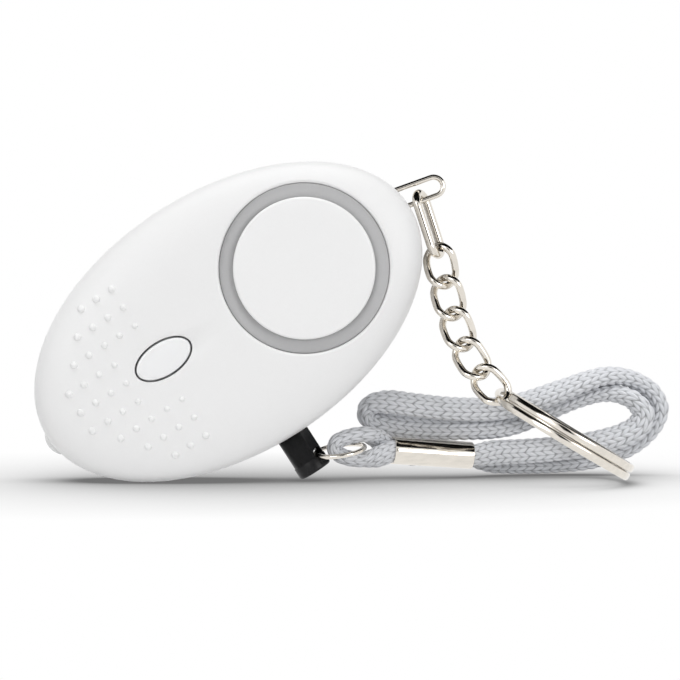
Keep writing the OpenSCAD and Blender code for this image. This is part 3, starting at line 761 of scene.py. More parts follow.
    def dots(self) -> Mesh:
        """Return the moulded grip dots, larger towards the edge."""
        bm = bmesh.new()
        grow, grow_from = self.dot_grow
        low, more = self.dot_rise
        near = self.dot_near
        for row, (first, count) in enumerate(self.dot_rows):
            for i in range(count):
                x, z = first - i * self.dot_step[0], self.dot_top - row * self.dot_step[1]
                share = math.hypot(x / self.half_l, z / self.half_w)
                r = self.dot_r + grow * max(share - grow_from, 0)
                tip_x = self.skin(x - near, z) - self.skin(x + near, z)
                tip_z = self.skin(x, z - near) - self.skin(x, z + near)
                tip = Vector((tip_x, -2 * near, tip_z))
                turn = Vector((0, 0, 1)).rotation_difference(tip).to_matrix().to_4x4()
                place = self.frame() @ Matrix.Translation((x, -self.skin(x, z), z)) @ turn
                u, v = self.dot_faces
                made = bmesh.ops.create_uvsphere(bm, u_segments=u, v_segments=v, radius=1.0)["verts"]
                bmesh.ops.scale(bm, vec=(r, r, low + more * share), verts=made)
                bmesh.ops.transform(bm, matrix=place, verts=made)
        return bm

    def build(self) -> None:
        """Make the case's pieces."""
        body, thick = Body.CASE.value, self.wall * self.shell_share * MM
        front = wrap(self.front_shape(), self.front_around, sum(self.front_rows))
        bmesh.ops.solidify(front, geom=front.faces[:], thickness=thick)
        shell = finish_piece(front, "front_shell", body, CASE_WHITE, ["front_case"])
        cut(shell, [self.button_cutter(), self.pin_cutter(), self.slot_cutter()])
        rear = wrap(self.rear_shape(), *self.rear_faces)
        bmesh.ops.solidify(rear, geom=rear.faces[:], thickness=thick)
        back = finish_piece(rear, "rear_shell", body, CASE_WHITE, ["rear_case"])
        cut(back, [self.pin_cutter()])
        finish_piece(self.dots(), "grip_dots", body, CASE_WHITE)
        self.build_sounder()
        self.build_button()
        self.build_lens()

    def build_sounder(self) -> None:
        """Make the grey recess ring and the white cover."""
        place, steps = self.facing(*self.speaker), self.sounder_steps
        low, edge, fit = self.recess_floor, self.ring_edge, self.fit
        outer, inner = self.recess_r - fit, self.cover_r - self.ring_in
        ring = [(inner, low - self.ring_deep), (outer, low - self.ring_deep)]
        ring += arc(outer - edge, low - edge, edge, 0, 90, 3)
        ring += [(inner, low), ring[0]]
        finish_piece(lathe(ring, place, steps), "recess_ring", Body.CASE.value, RING_GREY, ["speaker_ring"])
        top, soft = self.cover_top, self.cover_soft
        foot, seat = low - self.cover_deep, low + self.cover_seat
        cover = [(0, foot), (inner - fit, foot), (inner - fit, seat), (self.cover_r - fit, seat)]
        cover += arc(self.cover_r - soft, top - soft, soft, 0, 90, 6)
        cover += [(self.cover_r * share, top + rise) for share, rise in self.cover_crown]
        finish_piece(
            lathe(cover, place, steps), "sounder_cover", Body.CASE.value, COVER_WHITE, ["speaker_cover"])

    def build_button(self) -> None:
        """Make the oval light button with its rounded edge."""
        top, soft = self.skin(*self.button_at) + self.button_rise, self.button_soft
        levels = [*self.button_foot, (0.0, top - soft)]
        levels += [(soft * (math.cos(q) - 1), top - soft + soft * math.sin(q))
                   for q in radians_of(25, 50, 75)]
        levels += [(-soft - self.fit, top)]
        levels += [(grow, top + rise) for grow, rise in self.button_crown]
        finish_piece(self.oval(levels), "light_button", Body.BUTTON.value, BUTTON_WHITE, ["led_button"])

    def build_lens(self) -> None:
        """Make the clear lens at the narrow end."""
        place = self.frame() @ Matrix.Translation((-self.half_l, 0, -self.led_drop))
        place = place @ Matrix.Rotation(-math.pi / 2, 4, "Y")
        r, rise = self.lens_r, self.lens_rise
        ball = (r * r + rise * rise) / (2 * rise)
        half = math.asin(r / ball)
        wide = r + self.lens_flange
        foot, ledge = self.lens_foot
        around, steps = self.lens_steps
        profile = [(0, foot), (wide, foot), (wide, ledge), (r, ledge)]
        for i in range(steps + 1):
            q = half * (1 - i / steps)
            profile.append((ball * math.sin(q), rise - ball + ball * math.cos(q)))
        finish_piece(lathe(profile, place, around), "light_lens", Body.CASE.value, LENS_CLEAR, ["led_lens"])


@dataclass
class PullPin:
    """The black pull pin and the small ring in its cross hole, in millimetres and degrees."""

    case: Case
    out: float = 6.7
    guide: float = 5.2
    prong_r: float = 1.3
    prong_l: float = 4.2
    hole_r: float = 0.95
    hole_turn: float = 20.5
    hole_off: float = 1.4
    hole_in: float = 2.3
    ring_r: float = 3.875
    ring_wire: float = 0.75
    ring_tip: float = 9.0
    ring_lift: float = 8.0
    ring_ease: float = 0.02
    collar: float = 2.0
    collar_step: float = 0.12
    collar_soft: Pair = (0.06, 0.03)
    soft: float = 0.4
    shoulder_cut: float = 0.2
    hole_lip: float = 0.02
    hole_over: float = 0.5
    pin_steps: int = 72
    hole_steps: int = 32
    ring_faces: Faces = (16, 72)

    def low(self) -> float:
        """Return the outer end of the pin in the case's frame."""
        return -self.case.half_w - self.out

    def build(self) -> None:
        """Make the pin and the ring."""
        c = self.case
        place = c.frame() @ Matrix.Translation((c.pin_x, 0, self.low()))
        r, soft = c.pin_r, self.soft
        shoulder = self.out + self.guide
        wide = r + self.collar_step
        drop, ease = self.collar_soft
        tip = shoulder + self.prong_l - self.prong_r
        profile = [(0, 0), (wide - soft, 0)] + arc(wide - soft, soft, soft, -80, 0, 5)
        profile += [(wide, self.collar - drop), (wide - ease, self.collar), (r, self.collar + ease)]
        profile += [(r, shoulder - self.shoulder_cut), (r - self.shoulder_cut, shoulder)]
        profile += [(self.prong_r, shoulder), (self.prong_r, tip)]
        profile += arc(0, tip, self.prong_r, 15, 90, 5)
        turned = lathe(profile, place, self.pin_steps)
        pin = finish_piece(turned, "release_pin", Body.LANYARD.value, PIN_BLACK, ["pull_pin"])
        aim = Matrix.Rotation(math.radians(self.hole_turn), 4, "Z") @ Matrix.Rotation(math.pi / 2, 4, "X")
        hole = place @ Matrix.Translation((self.hole_off, 0, self.hole_in)) @ aim
        h, lip = self.hole_r, self.hole_lip
        side = math.sqrt(r * r - self.hole_off**2)
        end = -side - self.hole_over
        mouth = [(h, -side + lip), (h + lip * 0.4, -side + c.fit), (h + lip * 2, end), (0, end)]
        tool = [(reach, -z) for reach, z in reversed(mouth)] + mouth
        cut(pin, [lathe(tool, hole, self.hole_steps)])
        self.build_ring()

    def build_ring(self) -> None:
        """Make the small ring in the pin's hole."""
        c = self.case
        lift = math.radians(self.ring_lift)
        eye = c.frame() @ Vector((c.pin_x + self.hole_off, 0, self.low() + self.hole_in))
        middle = eye + (self.ring_r - self.ring_ease) * MM * Vector((math.cos(lift), 0, math.sin(lift)))
        turn = Matrix.Rotation(-lift, 4, "Y") @ Matrix.Rotation(math.radians(self.ring_tip), 4, "X")
        place = Matrix.Translation(middle) @ turn @ Matrix.Scale(MM, 4)

        def shape(a: float, b: float) -> Vector:
            q, w = math.tau * a, math.tau * b
            r = self.ring_r + self.ring_wire / 2 * math.cos(q)
            return place @ Vector((r * math.cos(w), r * math.sin(w), self.ring_wire / 2 * math.sin(q)))

        ring = wrap(shape, *self.ring_faces)
        finish_piece(ring, "small_ring", Body.LANYARD.value, NICKEL, ["pin_ring"])


@dataclass
class WireChain:
    """The wire loop on the case, the connector, the twisted links and the split ring.

    Sizes are millimetres and degrees. Wires, lengths and widths are the connector's and the links'.
    """

    case: Case
    loop_wire: float = 0.85
    loop_r: float = 1.475
    loop_out: float = 7.1
    loop_in: float = 6.7
    loop_turn: float = 13.0
    loop_rise: float = 1.55
    loop_start: float = 33.2
    hang_at: float = 2.6
    wires: Pair = (1.35, 1.15)
    lengths: Pair = (11.4, 7.6)
    widths: Pair = (5.1, 5.4)
    leans: tuple[float, ...] = (18, 12, 14, 20, 32, 42)
    tips: tuple[float, ...] = (3, 6, 9, 12, 14, 16)
    connector_turn: float = 66.0
    twist: float = 40.0
    play: float = 0.15
    ring_d: float = 24.5
    ring_wire: float = 0.95
    ring_gap: float = 0.45
    ring_flat: float = 1.34
    ring_square: float = 1.5
    ring_round: Pair = (12.0, 34.0)
    ring_sweep: float = 720.0
    ring_slope: float = 31.0
    ring_ease: float = 0.3
    ring_ends: float = 30.0
    loop_side: float = 400.0
    loop_faces: Faces = (80, 18)
    link_faces: Faces = (120, 32)
    ring_faces: Faces = (240, 20)
    near: float = 1e-4
    tops: list[Vector] = field(default_factory=list)
    lows: list[Vector] = field(default_factory=list)

    def down(self, k: int) -> Vector:
        """Return the direction along link k."""
        lean, tip = math.radians(self.leans[k]), math.radians(self.tips[k])
        return Vector((math.sin(lean) * math.cos(tip), -math.sin(tip), -math.cos(lean) * math.cos(tip)))

    def across(self, k: int) -> Vector:
        """Return the direction across link k in the plane of the face."""
        lean = math.radians(self.leans[k])
        return Vector((math.cos(lean), 0, math.sin(lean)))

    def sizes(self, k: int) -> Point:
        """Return half length, half width and wire of link k, at the middle of its wire."""
        i = 0 if k == 0 else 1
        return ((self.lengths[i] - self.wires[i]) / 2, (self.widths[i] - self.wires[i]) / 2, self.wires[i])

    def hang(self) -> None:
        """Work out the ends of every link below the point on the loop that carries them."""
        turn = math.radians(self.loop_turn)
        x, z = self.hang_at, -self.loop_r
        spot = Vector((self.loop_start + x * math.cos(turn) + z * math.sin(turn), 0,
                       self.loop_rise + z * math.cos(turn) - x * math.sin(turn)))
        held = (self.case.frame() @ spot) / MM
        self.tops, self.lows = [], []
        last, upper = self.loop_wire, held
        for k in range(len(self.leans)):
            half, _, wire = self.sizes(k)
            self.tops.append(upper - ((last + wire) / 2 + self.play) * self.down(k))
            self.lows.append(self.tops[k] + 2 * half * self.down(k))
            last, upper = wire, self.lows[k]

    def tube(
        self, path: Path, wire: float, middle: Vector, faces: Faces, form: Form | None = None
    ) -> Mesh:
        """Build a wire along a path.

        Args:
            path: centre of the wire in millimetres at a share of its length.
            wire: its diameter in millimetres.
            middle: point that the section's first axis points away from.
            faces: faces along it and around it.
            form: at a share of the length, the power that makes the section squarer above 1, and its height
                over its depth. Without it the wire is round.

        Returns:
            The wire in the row frame.
        """
        along, sides = faces
        frames: dict[int, tuple[Vector, Vector, Vector]] = {}

        def section(i: int) -> tuple[Vector, Vector, Vector]:
            if i not in frames:
                b = i / along
                at = path(b)
                t = (path(b + self.near) - path(b - self.near)).normalized()
                out = at - middle
                x = (out - t * out.dot(t)).normalized()
                frames[i] = (at, x, t.cross(x))
            return frames[i]

        def shape(a: float, b: float) -> Vector:
            at, x, y = section(round(b * along))
            squash, flat = form(round(b * along) / along) if form else (1.0, 1.0)
            q = math.tau * a
            cs, sn = math.cos(q), math.sin(q)
            cs = math.copysign(abs(cs) ** (1 / squash), cs)
            sn = math.copysign(abs(sn) ** (1 / squash), sn)
            return (at + (x * cs + y * (sn * flat)) * (wire / 2)) * MM

        return wrap(shape, sides, along)

    def link_path(self, k: int) -> Path:
        """Return the closed centre line of link k."""
        a, b, _ = self.sizes(k)
        middle = (self.tops[k] + self.lows[k]) / 2
        down, across = self.down(k), self.across(k)
        away = (-down).cross(across)
        straight = 2 * (a - b)
        whole = 2 * straight + math.tau * b

        def path(share: float) -> Vector:
            s = (share % 1.0) * whole
            if s < math.pi * b:
                u, v = a - b + b * math.sin(s / b), b * math.cos(s / b)
            elif s < math.pi * b + straight:
                u, v = a - b - (s - math.pi * b), -b
            elif s < math.tau * b + straight:
                q = (s - math.pi * b - straight) / b
                u, v = b - a - b * math.sin(q), -b * math.cos(q)
            else:
                u, v = b - a + (s - math.tau * b - straight), b
            r = math.radians(self.connector_turn if k == 0 else -self.twist * u / a)
            return middle - down * u + (across * math.cos(r) + away * math.sin(r)) * v

        return path

    def ring_turn(self, share: float) -> float:
        """Return the angle in degrees at a share of the ring's wire."""
        return self.ring_ends + share * (self.ring_sweep - 2 * self.ring_ends)

    def ring_path(self) -> tuple[Path, Vector]:
        """Return the centre line of the split ring and its middle."""
        last = len(self.leans) - 1
        slope = math.radians(self.ring_slope)
        out = Vector((math.cos(slope), 0, -math.sin(slope)))
        axis = Vector((math.sin(slope), 0, math.cos(slope)))
        r = (self.ring_d - self.ring_wire) / 2
        seat = (self.wires[1] + self.ring_wire) / 2 + self.play + self.ring_ease
        middle = self.lows[last] - self.down(last) * seat + out * r
        pitch = self.ring_wire + self.ring_gap

        def path(share: float) -> Vector:
            turn = self.ring_turn(share)
            step = min(max((turn - self.ring_sweep / 2 + self.ring_ends) / (2 * self.ring_ends), 0), 1)
            level = pitch * (step * step * (3 - 2 * step) - 0.5)
            q = math.radians(turn)
            return middle + (Vector((0, 1, 0)) * math.sin(q) - out * math.cos(q)) * r + axis * level

        return path, middle

    def ring_form(self, share: float) -> Pair:
        """Return the form of the ring's wire: flat, but round where the last link hangs.

        Args:
            share: place along the wire.

        Returns:
            Power of the section and its height over its depth.
        """
        turn = self.ring_turn(share)
        away = min(abs(turn - self.ring_sweep / 2), turn, self.ring_sweep - turn)
        near, far = self.ring_round
        flat = min(max((away - near) / (far - near), 0), 1)
        return 1 + (self.ring_square - 1) * flat, 1 + (self.ring_flat - 1) * flat

    def build_loop(self) -> None:
        """Make the wire loop at the end of the case."""
        place = self.case.frame() @ Matrix.Translation((self.loop_start, 0, self.loop_rise))
        place = place @ Matrix.Rotation(math.radians(self.loop_turn), 4, "Y")
        bend = self.loop_out - self.loop_r - self.loop_wire / 2
        leg = self.loop_in + bend
        whole = 2 * leg + math.pi * self.loop_r

        def path(share: float) -> Vector:
            s = share * whole
            if s < leg:
                spot = Vector((s - self.loop_in, 0, -self.loop_r))
            elif s < leg + math.pi * self.loop_r:
                q = (s - leg) / self.loop_r
                spot = Vector((bend + self.loop_r * math.sin(q), 0, -self.loop_r * math.cos(q)))
            else:
                spot = Vector((bend - (s - leg - math.pi * self.loop_r), 0, self.loop_r))
            return (place @ spot) / MM

        side = (place @ Vector((0, self.loop_side, 0))) / MM
        loop = self.tube(path, self.loop_wire, side, self.loop_faces)
        bmesh.ops.holes_fill(loop, edges=loop.edges)
        finish_piece(loop, "hanging_loop", Body.CASE.value, NICKEL, ["wire_loop"])

    def build(self) -> None:
        """Make the loop, every link and the ring."""
        self.hang()
        self.build_loop()
        for k in range(len(self.leans)):
            middle = (self.tops[k] + self.lows[k]) / 2
            link = self.tube(self.link_path(k), self.sizes(k)[2], middle, self.link_faces)
            name = "long_connector" if k == 0 else "twisted_link_%d" % k
            node = "connector_link" if k == 0 else "chain_link_%d" % k
            body = Body.CONNECTOR.value if k == 0 else "link_%d" % k
            finish_piece(link, name, body, NICKEL, [node])
        path, middle = self.ring_path()
        ring = self.tube(path, self.ring_wire, middle, self.ring_faces, self.ring_form)
        bmesh.ops.holes_fill(ring, edges=ring.edges)
        finish_piece(ring, "split_ring", Body.RING.value, NICKEL, ["key_ring"])


@dataclass
class Lanyard:
    """The braided cord with its two loops, and the sleeve that is crimped on it.

    Sizes are millimetres. A point of a route is its place, then the roll of the flat cord in degrees.
    """

    case: Case
    width: float = 4.2
    thick: float = 2.8
    crimp: float = 0.8
    snug: float = 0.87
    sleeve_wall: float = 0.3
    sleeve_from: Point = (25.5, 3.5, 4.5)
    sleeve_to: Point = (38.0, 6.5, 3.5)
    rows: int = 14
    stitch: float = 1.45
    slant: float = 0.7
    relief: float = 0.34
    step: float = 0.19
    strand_gap: float = 0.03
    strand_spots: Point = (0.5, 0.02, 0.98)
    bore_ease: Pair = (0.3, 0.46)
    stitch_round: Pair = (0.7, 0.6)
    stitch_edge: float = 0.3
    relief_mid: float = 0.75
    relief_fade: Pair = (0.7, 0.3)
    row_faces: int = 5
    turn_steps: int = 360
    outline_steps: int = 2000
    line_step: int = 4
    sleeve_faces: Faces = (96, 24)
    sleeve_rim: float = 0.06
    rim_angle: float = 1.0
    ring_route: tuple[tuple[float, ...], ...] = (
        (22.7, 1.4, 3.5, 50), (20.9, 0.8, 3.25, 10), (19.4, 0.5, 3.35, 4), (18, 0.3, 3.7, 0),
        (16.9, 0.3, 4.3, 0), (16.5, 0.3, 5.15, 0), (16.9, 0.3, 6, 0), (18, 0.3, 6.6, 0),
        (19.4, 0.4, 7, 0), (20.9, 0.8, 7.2, -4), (22.7, 3, 6.7, -46))
    wrist_route: tuple[tuple[float, ...], ...] = (
        (42, 10.5, 2.4, 64), (46.2, 11.8, 2.2, 60), (50.8, 12.5, 2.2, 58), (59.4, 12.8, 3.2, 54),
        (62.9, 12.8, 4.4, 52), (65.7, 12.8, 6.2, 50), (67.6, 12.8, 8.4, 46), (68.4, 12.7, 10.6, 38),
        (67.6, 12.5, 12.8, 28), (65.6, 12.2, 14.6, 16), (62.9, 11.8, 15.7, 4), (59.9, 11.1, 15.9, -10),
        (56.4, 10.5, 15, -24), (52.4, 10.2, 13.5, -36), (44.4, 8.6, 11.1, -44), (36.5, 6.9, 10.8, -46),
        (28.4, 6.3, 11.6, -46), (25.2, 6.4, 12, -44), (23.4, 6.6, 11.9, -34), (22, 6.9, 11.4, -18),
        (21.4, 7.2, 10.2, 0), (22, 7.5, 9.1, 16), (23.4, 7.8, 8.6, 32), (25.8, 8.3, 8.2, 46),
        (28.8, 8.7, 7.9, 52), (36.4, 8.8, 7.7, 50), (44.4, 11, 8.1, 42), (52.4, 12.5, 11.1, 32),
        (55.9, 12.6, 12.4, 26), (59.2, 12.2, 13.1, 12), (62.2, 11.2, 12.9, -8), (64.6, 10.2, 11.7, -26),
        (65.8, 9.9, 9.9, -38), (65.2, 9.8, 8.2, -46), (62.8, 9.9, 6.6, -50), (59.4, 10, 5.5, -54),
        (50.8, 9.8, 4.2, -58), (46.2, 9.2, 3.9, -60), (42, 7.7, 3.8, -64))

    def origin(self) -> Vector:
        """Return the point under the middle of the case that the route is counted from."""
        at = self.case.middle()
        return Vector((at.x, at.y, 0))

    def strand(self, share: float, side: float, roll: float) -> tuple[float, ...]:
        """Return a point of one strand inside the sleeve.

        Args:
            share: place along the sleeve.
            side: 1 for the rear strand and -1 for the front one.
            roll: turn of the flat cord in degrees.

        Returns:
            Place, roll and the share of the cord's size that is left.
        """
        a, b = Vector(self.sleeve_from), Vector(self.sleeve_to)
        run = b - a
        yaw = math.atan2(run.y, run.x)
        off = self.thick * self.crimp / 2 + self.strand_gap
        at = a + run * share + Vector((-math.sin(yaw), math.cos(yaw), 0)) * off * side
        return (at.x, at.y, at.z, roll, self.crimp)

    def points(self) -> list[tuple[float, ...]]:
        """Return the whole route of the cord: small loop, sleeve, wrist loop and sleeve again."""
        mid, front, rear = self.strand_spots
        out = [self.strand(mid, -1, 90), self.strand(front, -1, 90)]
        out += [(*p, self.snug) for p in self.ring_route]
        out += [self.strand(front, 1, -90), self.strand(rear, 1, -90)]
        out += [(p[0], p[1], p[2], p[3] - 180, 1.0) for p in self.wrist_route]
        return out + [self.strand(rear, -1, -270), self.strand(mid, -1, -270)]

    def weave(self, across: float, along: float) -> float:
        """Return the height of the braid's stitches at a place on the cord.

        Args:
            across: share of the way round the cord.
            along: distance along the cord in millimetres.

        Returns:
            Height from 0 in a groove to 1 on a stitch.
        """
        row = across * self.rows
        side = 1 if int(row) % 2 else -1
        w = row - int(row)
        c = along / self.stitch + side * (w - 0.5) * self.slant
        along_power, across_power = self.stitch_round
        bulge = abs(math.sin(math.pi * c)) ** along_power
        return bulge * (self.stitch_edge + (1 - self.stitch_edge) * math.sin(math.pi * w) ** across_power)

    def build(self) -> None:
        spots = Route(self.points()).walk(self.step)
        origin = self.origin()
        places = [Vector(p[:3]) for p in spots]
        count = len(places) - 1
        turns = self.even_turns()
        fade_from, fade_over = self.relief_fade
        frames = []
        for i, p in enumerate(places):
            t = (places[min(i + 1, count)] - places[max(i - 1, 0)]).normalized()
            up = unit_cross(t, Vector((0, 1, 0)))
            side = t.cross(up)
            r = math.radians(spots[i][3])
            x = up * math.cos(r) + side * math.sin(r)
            frames.append((p + origin, x, t.cross(x), min(max(spots[i][4], self.crimp), 1.0)))

        def height(a: float, b: float) -> float:
            return self.weave(a % 1.0, b * count * self.step)

        def shape(a: float, b: float) -> Vector:
            at, x, y, share = frames[round(b * count)]
            q = turns[round((a % 1.0) * self.turn_steps)]
            rise = self.relief * (height(a, b) - self.relief_mid) * (share - fade_from) / fade_over
            out = (x * (math.cos(q) / self.thick) + y * (math.sin(q) / self.width)).normalized()
            flat = x * (self.thick / 2 * math.cos(q)) + y * (self.width / 2 * math.sin(q))
            return (at + flat * share + out * rise) * MM

        # Each point keeps its stitch height, from which the cord's finish paints shade into the grooves.
        bm = wrap(shape, self.rows * self.row_faces, count, "stitch", height)
        bmesh.ops.holes_fill(bm, edges=bm.edges)
        cord = finish_piece(bm, "braided_cord", Body.LANYARD.value, CORD_GREY, ["ring_loop", "wrist_loop"])
        sleeve = self.build_sleeve()
        length = sum((b - a).length for a, b in zip(places, places[1:])) * MM
        LOG.info("braided cord: %.1f mm long", length / MM)
        line = [(p + origin) * MM for p in places[::self.line_step]] + [(places[-1] + origin) * MM]
        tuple(line[0])

    def even_turns(self) -> list[float]:
        """Return angles that are evenly spaced along the oval outline of the cord.

        Returns:
            Angles in radians, the last a whole turn.
        """
        fine, count = self.outline_steps, self.turn_steps
        around = [math.tau * i / fine for i in range(fine + 1)]
        spots = [(self.thick * math.cos(q), self.width * math.sin(q)) for q in around]
        lengths = [0.0]
        for a, b in zip(spots, spots[1:]):
            lengths.append(lengths[-1] + math.dist(a, b))
        turns, k = [], 0
        for i in range(count + 1):
            at = lengths[-1] * i / count
            while k < fine and lengths[k + 1] < at:
                k += 1
            turns.append(around[k])
        return turns

    def build_sleeve(self) -> bpy.types.Object:
        """Make the crimped metal sleeve.

        Returns:
            The sleeve.
        """
        a, b = Vector(self.sleeve_from), Vector(self.sleeve_to)
        run = b - a
        axis = run.normalized()
        across = Vector((-run.y, run.x, 0)).normalized()
        up = unit_cross(axis, across)
        bore_h = self.width * self.crimp + self.bore_ease[0]
        bore_w = 2 * self.thick * self.crimp + self.bore_ease[1]
        r = bore_h / 2 + self.sleeve_wall
        straight = bore_w - bore_h
        whole = 2 * straight + math.tau * r
        origin = self.origin()

        def shape(p: float, q: float) -> Vector:
            s = (p % 1.0) * whole
            if s < straight:
                x, z = s - straight / 2, r
            elif s < straight + math.pi * r:
                w = (s - straight) / r
                x, z = straight / 2 + r * math.sin(w), r * math.cos(w)
            elif s < 2 * straight + math.pi * r:
                x, z = straight / 2 - (s - straight - math.pi * r), -r
            else:
                w = (s - 2 * straight - math.pi * r) / r
                x, z = -straight / 2 - r * math.sin(w), -r * math.cos(w)
            return (origin + a + run * q + across * x + up * z) * MM

        bm = wrap(shape, *self.sleeve_faces)
        bmesh.ops.solidify(bm, geom=bm.faces[:], thickness=self.sleeve_wall * MM)
        rims = [e for e in bm.edges if e.is_manifold and e.calc_face_angle(0) > self.rim_angle]
        bmesh.ops.bevel(
            bm, geom=rims, offset=self.sleeve_rim * MM, segments=2, profile=0.5,
            affect="EDGES", material=-1)
        return finish_piece(bm, "metal_sleeve", Body.LANYARD.value, NICKEL, ["crimp_sleeve"])


@dataclass
class Studio:
    """Camera, pale floor with a painted shadow, soft lamps, black cards and white surroundings.

    The camera's distance, aim and sensor are millimetres, and other lengths are metres.
    """

    case: Case
    px_per_mm: float = 6.4
    distance: float = 450.0
    elevation: float = 1.75
    look_at: Pair = (17.35, 22.0)
    sensor: float = 36.0
    clip: Pair = (0.01, 20.0)
    ambient: float = 0.28
    floor_size: float = 12.0
    floor_grey: float = 0.78
    floor_rough: float = 0.6
    # Samples, reach, power and lowest level of the painted shadow in the floor's glow.
    shade_samples: int = 32
    shade_reach: float = 0.06
    shade_power: float = 1.4
    shade_least: float = 0.17
    lamp_aim: Point = (0.0, 0.0, 0.025)
    mirrored_below: float = 0.5
    lamps: tuple[tuple[str, Point, Pair, float], ...] = (
        ("top_lamp", (-0.1, -0.15, 0.9), (0.9, 0.9), 6.6),
        ("left_lamp", (-0.55, -0.85, 0.28), (0.5, 0.4), 1.5),
        ("right_lamp", (0.7, -0.8, 0.2), (0.5, 0.4), 2.6))
    card_black: float = 0.01
    cards: tuple[tuple[str, Point, Pair, Point], ...] = (
        ("ceiling", (0.0, 0.15, 1.0), (3.0, 2.7), (0, 0, -1)),
        ("front_card", (0.1, -1.3, 0.35), (0.5, 0.7), (0, 1, 0)))

    def aim(self, thing: bpy.types.Object, at: Vector, towards: Vector) -> None:
        """Put a camera or a lamp into the scene.

        Args:
            thing: the camera or lamp.
            at: place in metres.
            towards: direction that it looks in.
        """
        thing.location = at
        thing.rotation_mode = "QUATERNION"
        thing.rotation_quaternion = towards.to_track_quat("-Z", "Y")
        bpy.context.scene.collection.objects.link(thing)

    def camera(self) -> None:
        """Make the camera at the photograph's viewing angle."""
        at = self.case.middle()
        target = Vector((at.x + self.look_at[0], at.y, self.look_at[1])) * MM
        lift = math.radians(self.elevation)
        back = Vector((0, -math.cos(lift), math.sin(lift)))
        data = bpy.data.cameras.new("photo_camera")
        data.sensor_width = self.sensor
        data.lens = self.sensor * self.px_per_mm * self.distance / IMAGE_PX
        data.clip_start, data.clip_end = self.clip
        eye = bpy.data.objects.new("photo_camera", data)
        self.aim(eye, target + back * self.distance * MM, -back)
        bpy.context.scene.camera = eye

    def lamp(self, name: str, at: Point, size: Pair, watts: float) -> None:
        """Make a soft square lamp that points at the object.

        Args:
            name: object name.
            at: place in metres.
            size: width and height in metres.
            watts: power.
        """
        data = bpy.data.lights.new(name, "AREA")
        data.shape = "RECTANGLE"
        data.size, data.size_y = size
        data.energy = watts
        lamp = bpy.data.objects.new(name, data)
        lamp.visible_glossy = at[2] < self.mirrored_below
        self.aim(lamp, Vector(at), Vector(self.lamp_aim) - Vector(at))

    def sheet(self, name: str, size: Pair, place: Matrix, mat: bpy.types.Material) -> bpy.types.Object:
        """Make a flat sheet.

        Args:
            name: object name.
            size: width and height in metres.
            place: where it goes.
            mat: its material.

        Returns:
            The sheet.
        """
        bm = bmesh.new()
        bmesh.ops.create_grid(bm, x_segments=1, y_segments=1, size=0.5)
        bmesh.ops.scale(bm, vec=(*size, 1), verts=bm.verts)
        bmesh.ops.transform(bm, matrix=place, verts=bm.verts)
        thing = add_mesh(bm, name)
        thing.data.materials.append(mat)
        return thing

    def floor(self) -> None:
        """Make the pale floor: white in the open, with a painted shadow in its glow that is darker the more
        of the sky the object hides.
        """
        mat = bpy.data.materials.new("pale_floor")
        mat.use_nodes = True
        tree, grey = mat.node_tree, self.floor_grey
        shader = fill(tree, tree.nodes["Principled BSDF"], {
            "Base Color": (grey, grey, grey, 1), "Roughness": self.floor_rough})
        # Painted shadow: the glow that the camera sees is dimmed where the object hides the sky.
        open_sky = add_node(tree, "AmbientOcclusion", {"Distance": self.shade_reach})
        open_sky.samples = self.shade_samples
        depth = add_math(tree, "POWER", open_sky.outputs["AO"], self.shade_power)
        painted_shadow_level = add_math(tree, "MAXIMUM", depth, self.shade_least)
        eye = add_node(tree, "LightPath")
        level = add_node(tree, "MapRange", {
            "Value": eye.outputs["Is Camera Ray"], "To Min": 1.0, "To Max": painted_shadow_level})
        glow = add_node(tree, "Emission", {"Color": (1, 1, 1, 1), "Strength": level.outputs["Result"]})
        pick = add_node(tree, "MixShader", {
            "Fac": self.direct_sight(tree), 1: shader.outputs["BSDF"], 2: glow.outputs["Emission"]})
        fill(tree, tree.nodes["Material Output"], {"Surface": pick.outputs["Shader"]})
        floor = self.sheet("pale_floor", (self.floor_size, self.floor_size), Matrix.Identity(4), mat)

    def direct_sight(self, tree: Tree) -> Socket:
        """Add a test for rays from the camera, off metal and through glass.

        Args:
            tree: node tree that gets the nodes.

        Returns:
            Socket that is 1 for such a ray and 0 for soft light.
        """
        path = add_node(tree, "LightPath")
        seen = add_math(tree, "MAXIMUM", path.outputs["Is Camera Ray"], path.outputs["Is Glossy Ray"])
        return add_math(tree, "MAXIMUM", seen, path.outputs["Is Transmission Ray"])

    def surroundings(self) -> None:
        """Make the world: soft light, and white where the camera, metal or glass sees it."""
        world = bpy.data.worlds.new("white_room")
        bpy.context.scene.world = world
        world.use_nodes = True
        tree = world.node_tree
        level = add_node(tree, "MapRange", {
            "Value": self.direct_sight(tree), "To Min": self.ambient, "To Max": 1.0})
        fill(tree, tree.nodes["Background"], {"Color": (1, 1, 1, 1), "Strength": level.outputs["Result"]})

    def flag(self, name: str, at: Point, size: Pair, facing: Point) -> None:
        """Make a black card that only reflections see, as used to draw edges on bright metal.

        Args:
            name: object name.
            at: place in metres.
            size: width and height in metres.
            facing: direction that it faces.
        """
        mat = bpy.data.materials.get("black_card") or bpy.data.materials.new("black_card")
        mat.use_nodes = True
        tree, black = mat.node_tree, self.card_black
        fill(tree, tree.nodes["Principled BSDF"], {
            "Base Color": (black, black, black, 1), "Specular IOR Level": 0.0})
        turn = Vector(facing).to_track_quat("-Z", "Y").to_matrix().to_4x4()
        card = self.sheet(name, size, Matrix.Translation(at) @ turn, mat)
        card.visible_camera = False
        card.visible_diffuse = False
        card.visible_shadow = False
        card.visible_transmission = False

    def build(self) -> None:
        """Make the floor, surroundings, lamps and cards."""
        self.floor()
        self.surroundings()
        for lamp in self.lamps:
            self.lamp(*lamp)
        for card in self.cards:
            self.flag(*card)


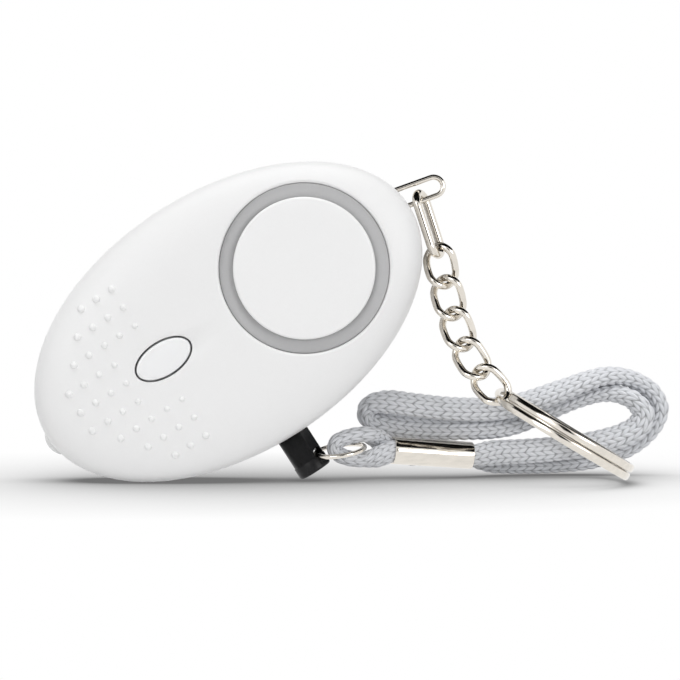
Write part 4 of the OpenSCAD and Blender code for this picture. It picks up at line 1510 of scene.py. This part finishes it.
def dress_hidden_nodes() -> None:
    """Give every solid that is still shown its own finish."""
    for finish, nodes in HIDDEN.items():
        for name in nodes:
            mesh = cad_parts[name].data
            mesh.materials.clear()
            mesh.materials.append(finish.material())


def main() -> None:
    """Build the scene in order."""
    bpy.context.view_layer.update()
    bpy.context.scene.view_settings.view_transform = "Standard"
    case = Case()
    studio = Studio(case)
    studio.camera()
    Lanyard(case).build()
    case.build()
    PullPin(case).build()
    WireChain(case).build()
    dress_hidden_nodes()
    studio.build()


if __name__ == "__main__":
    main()
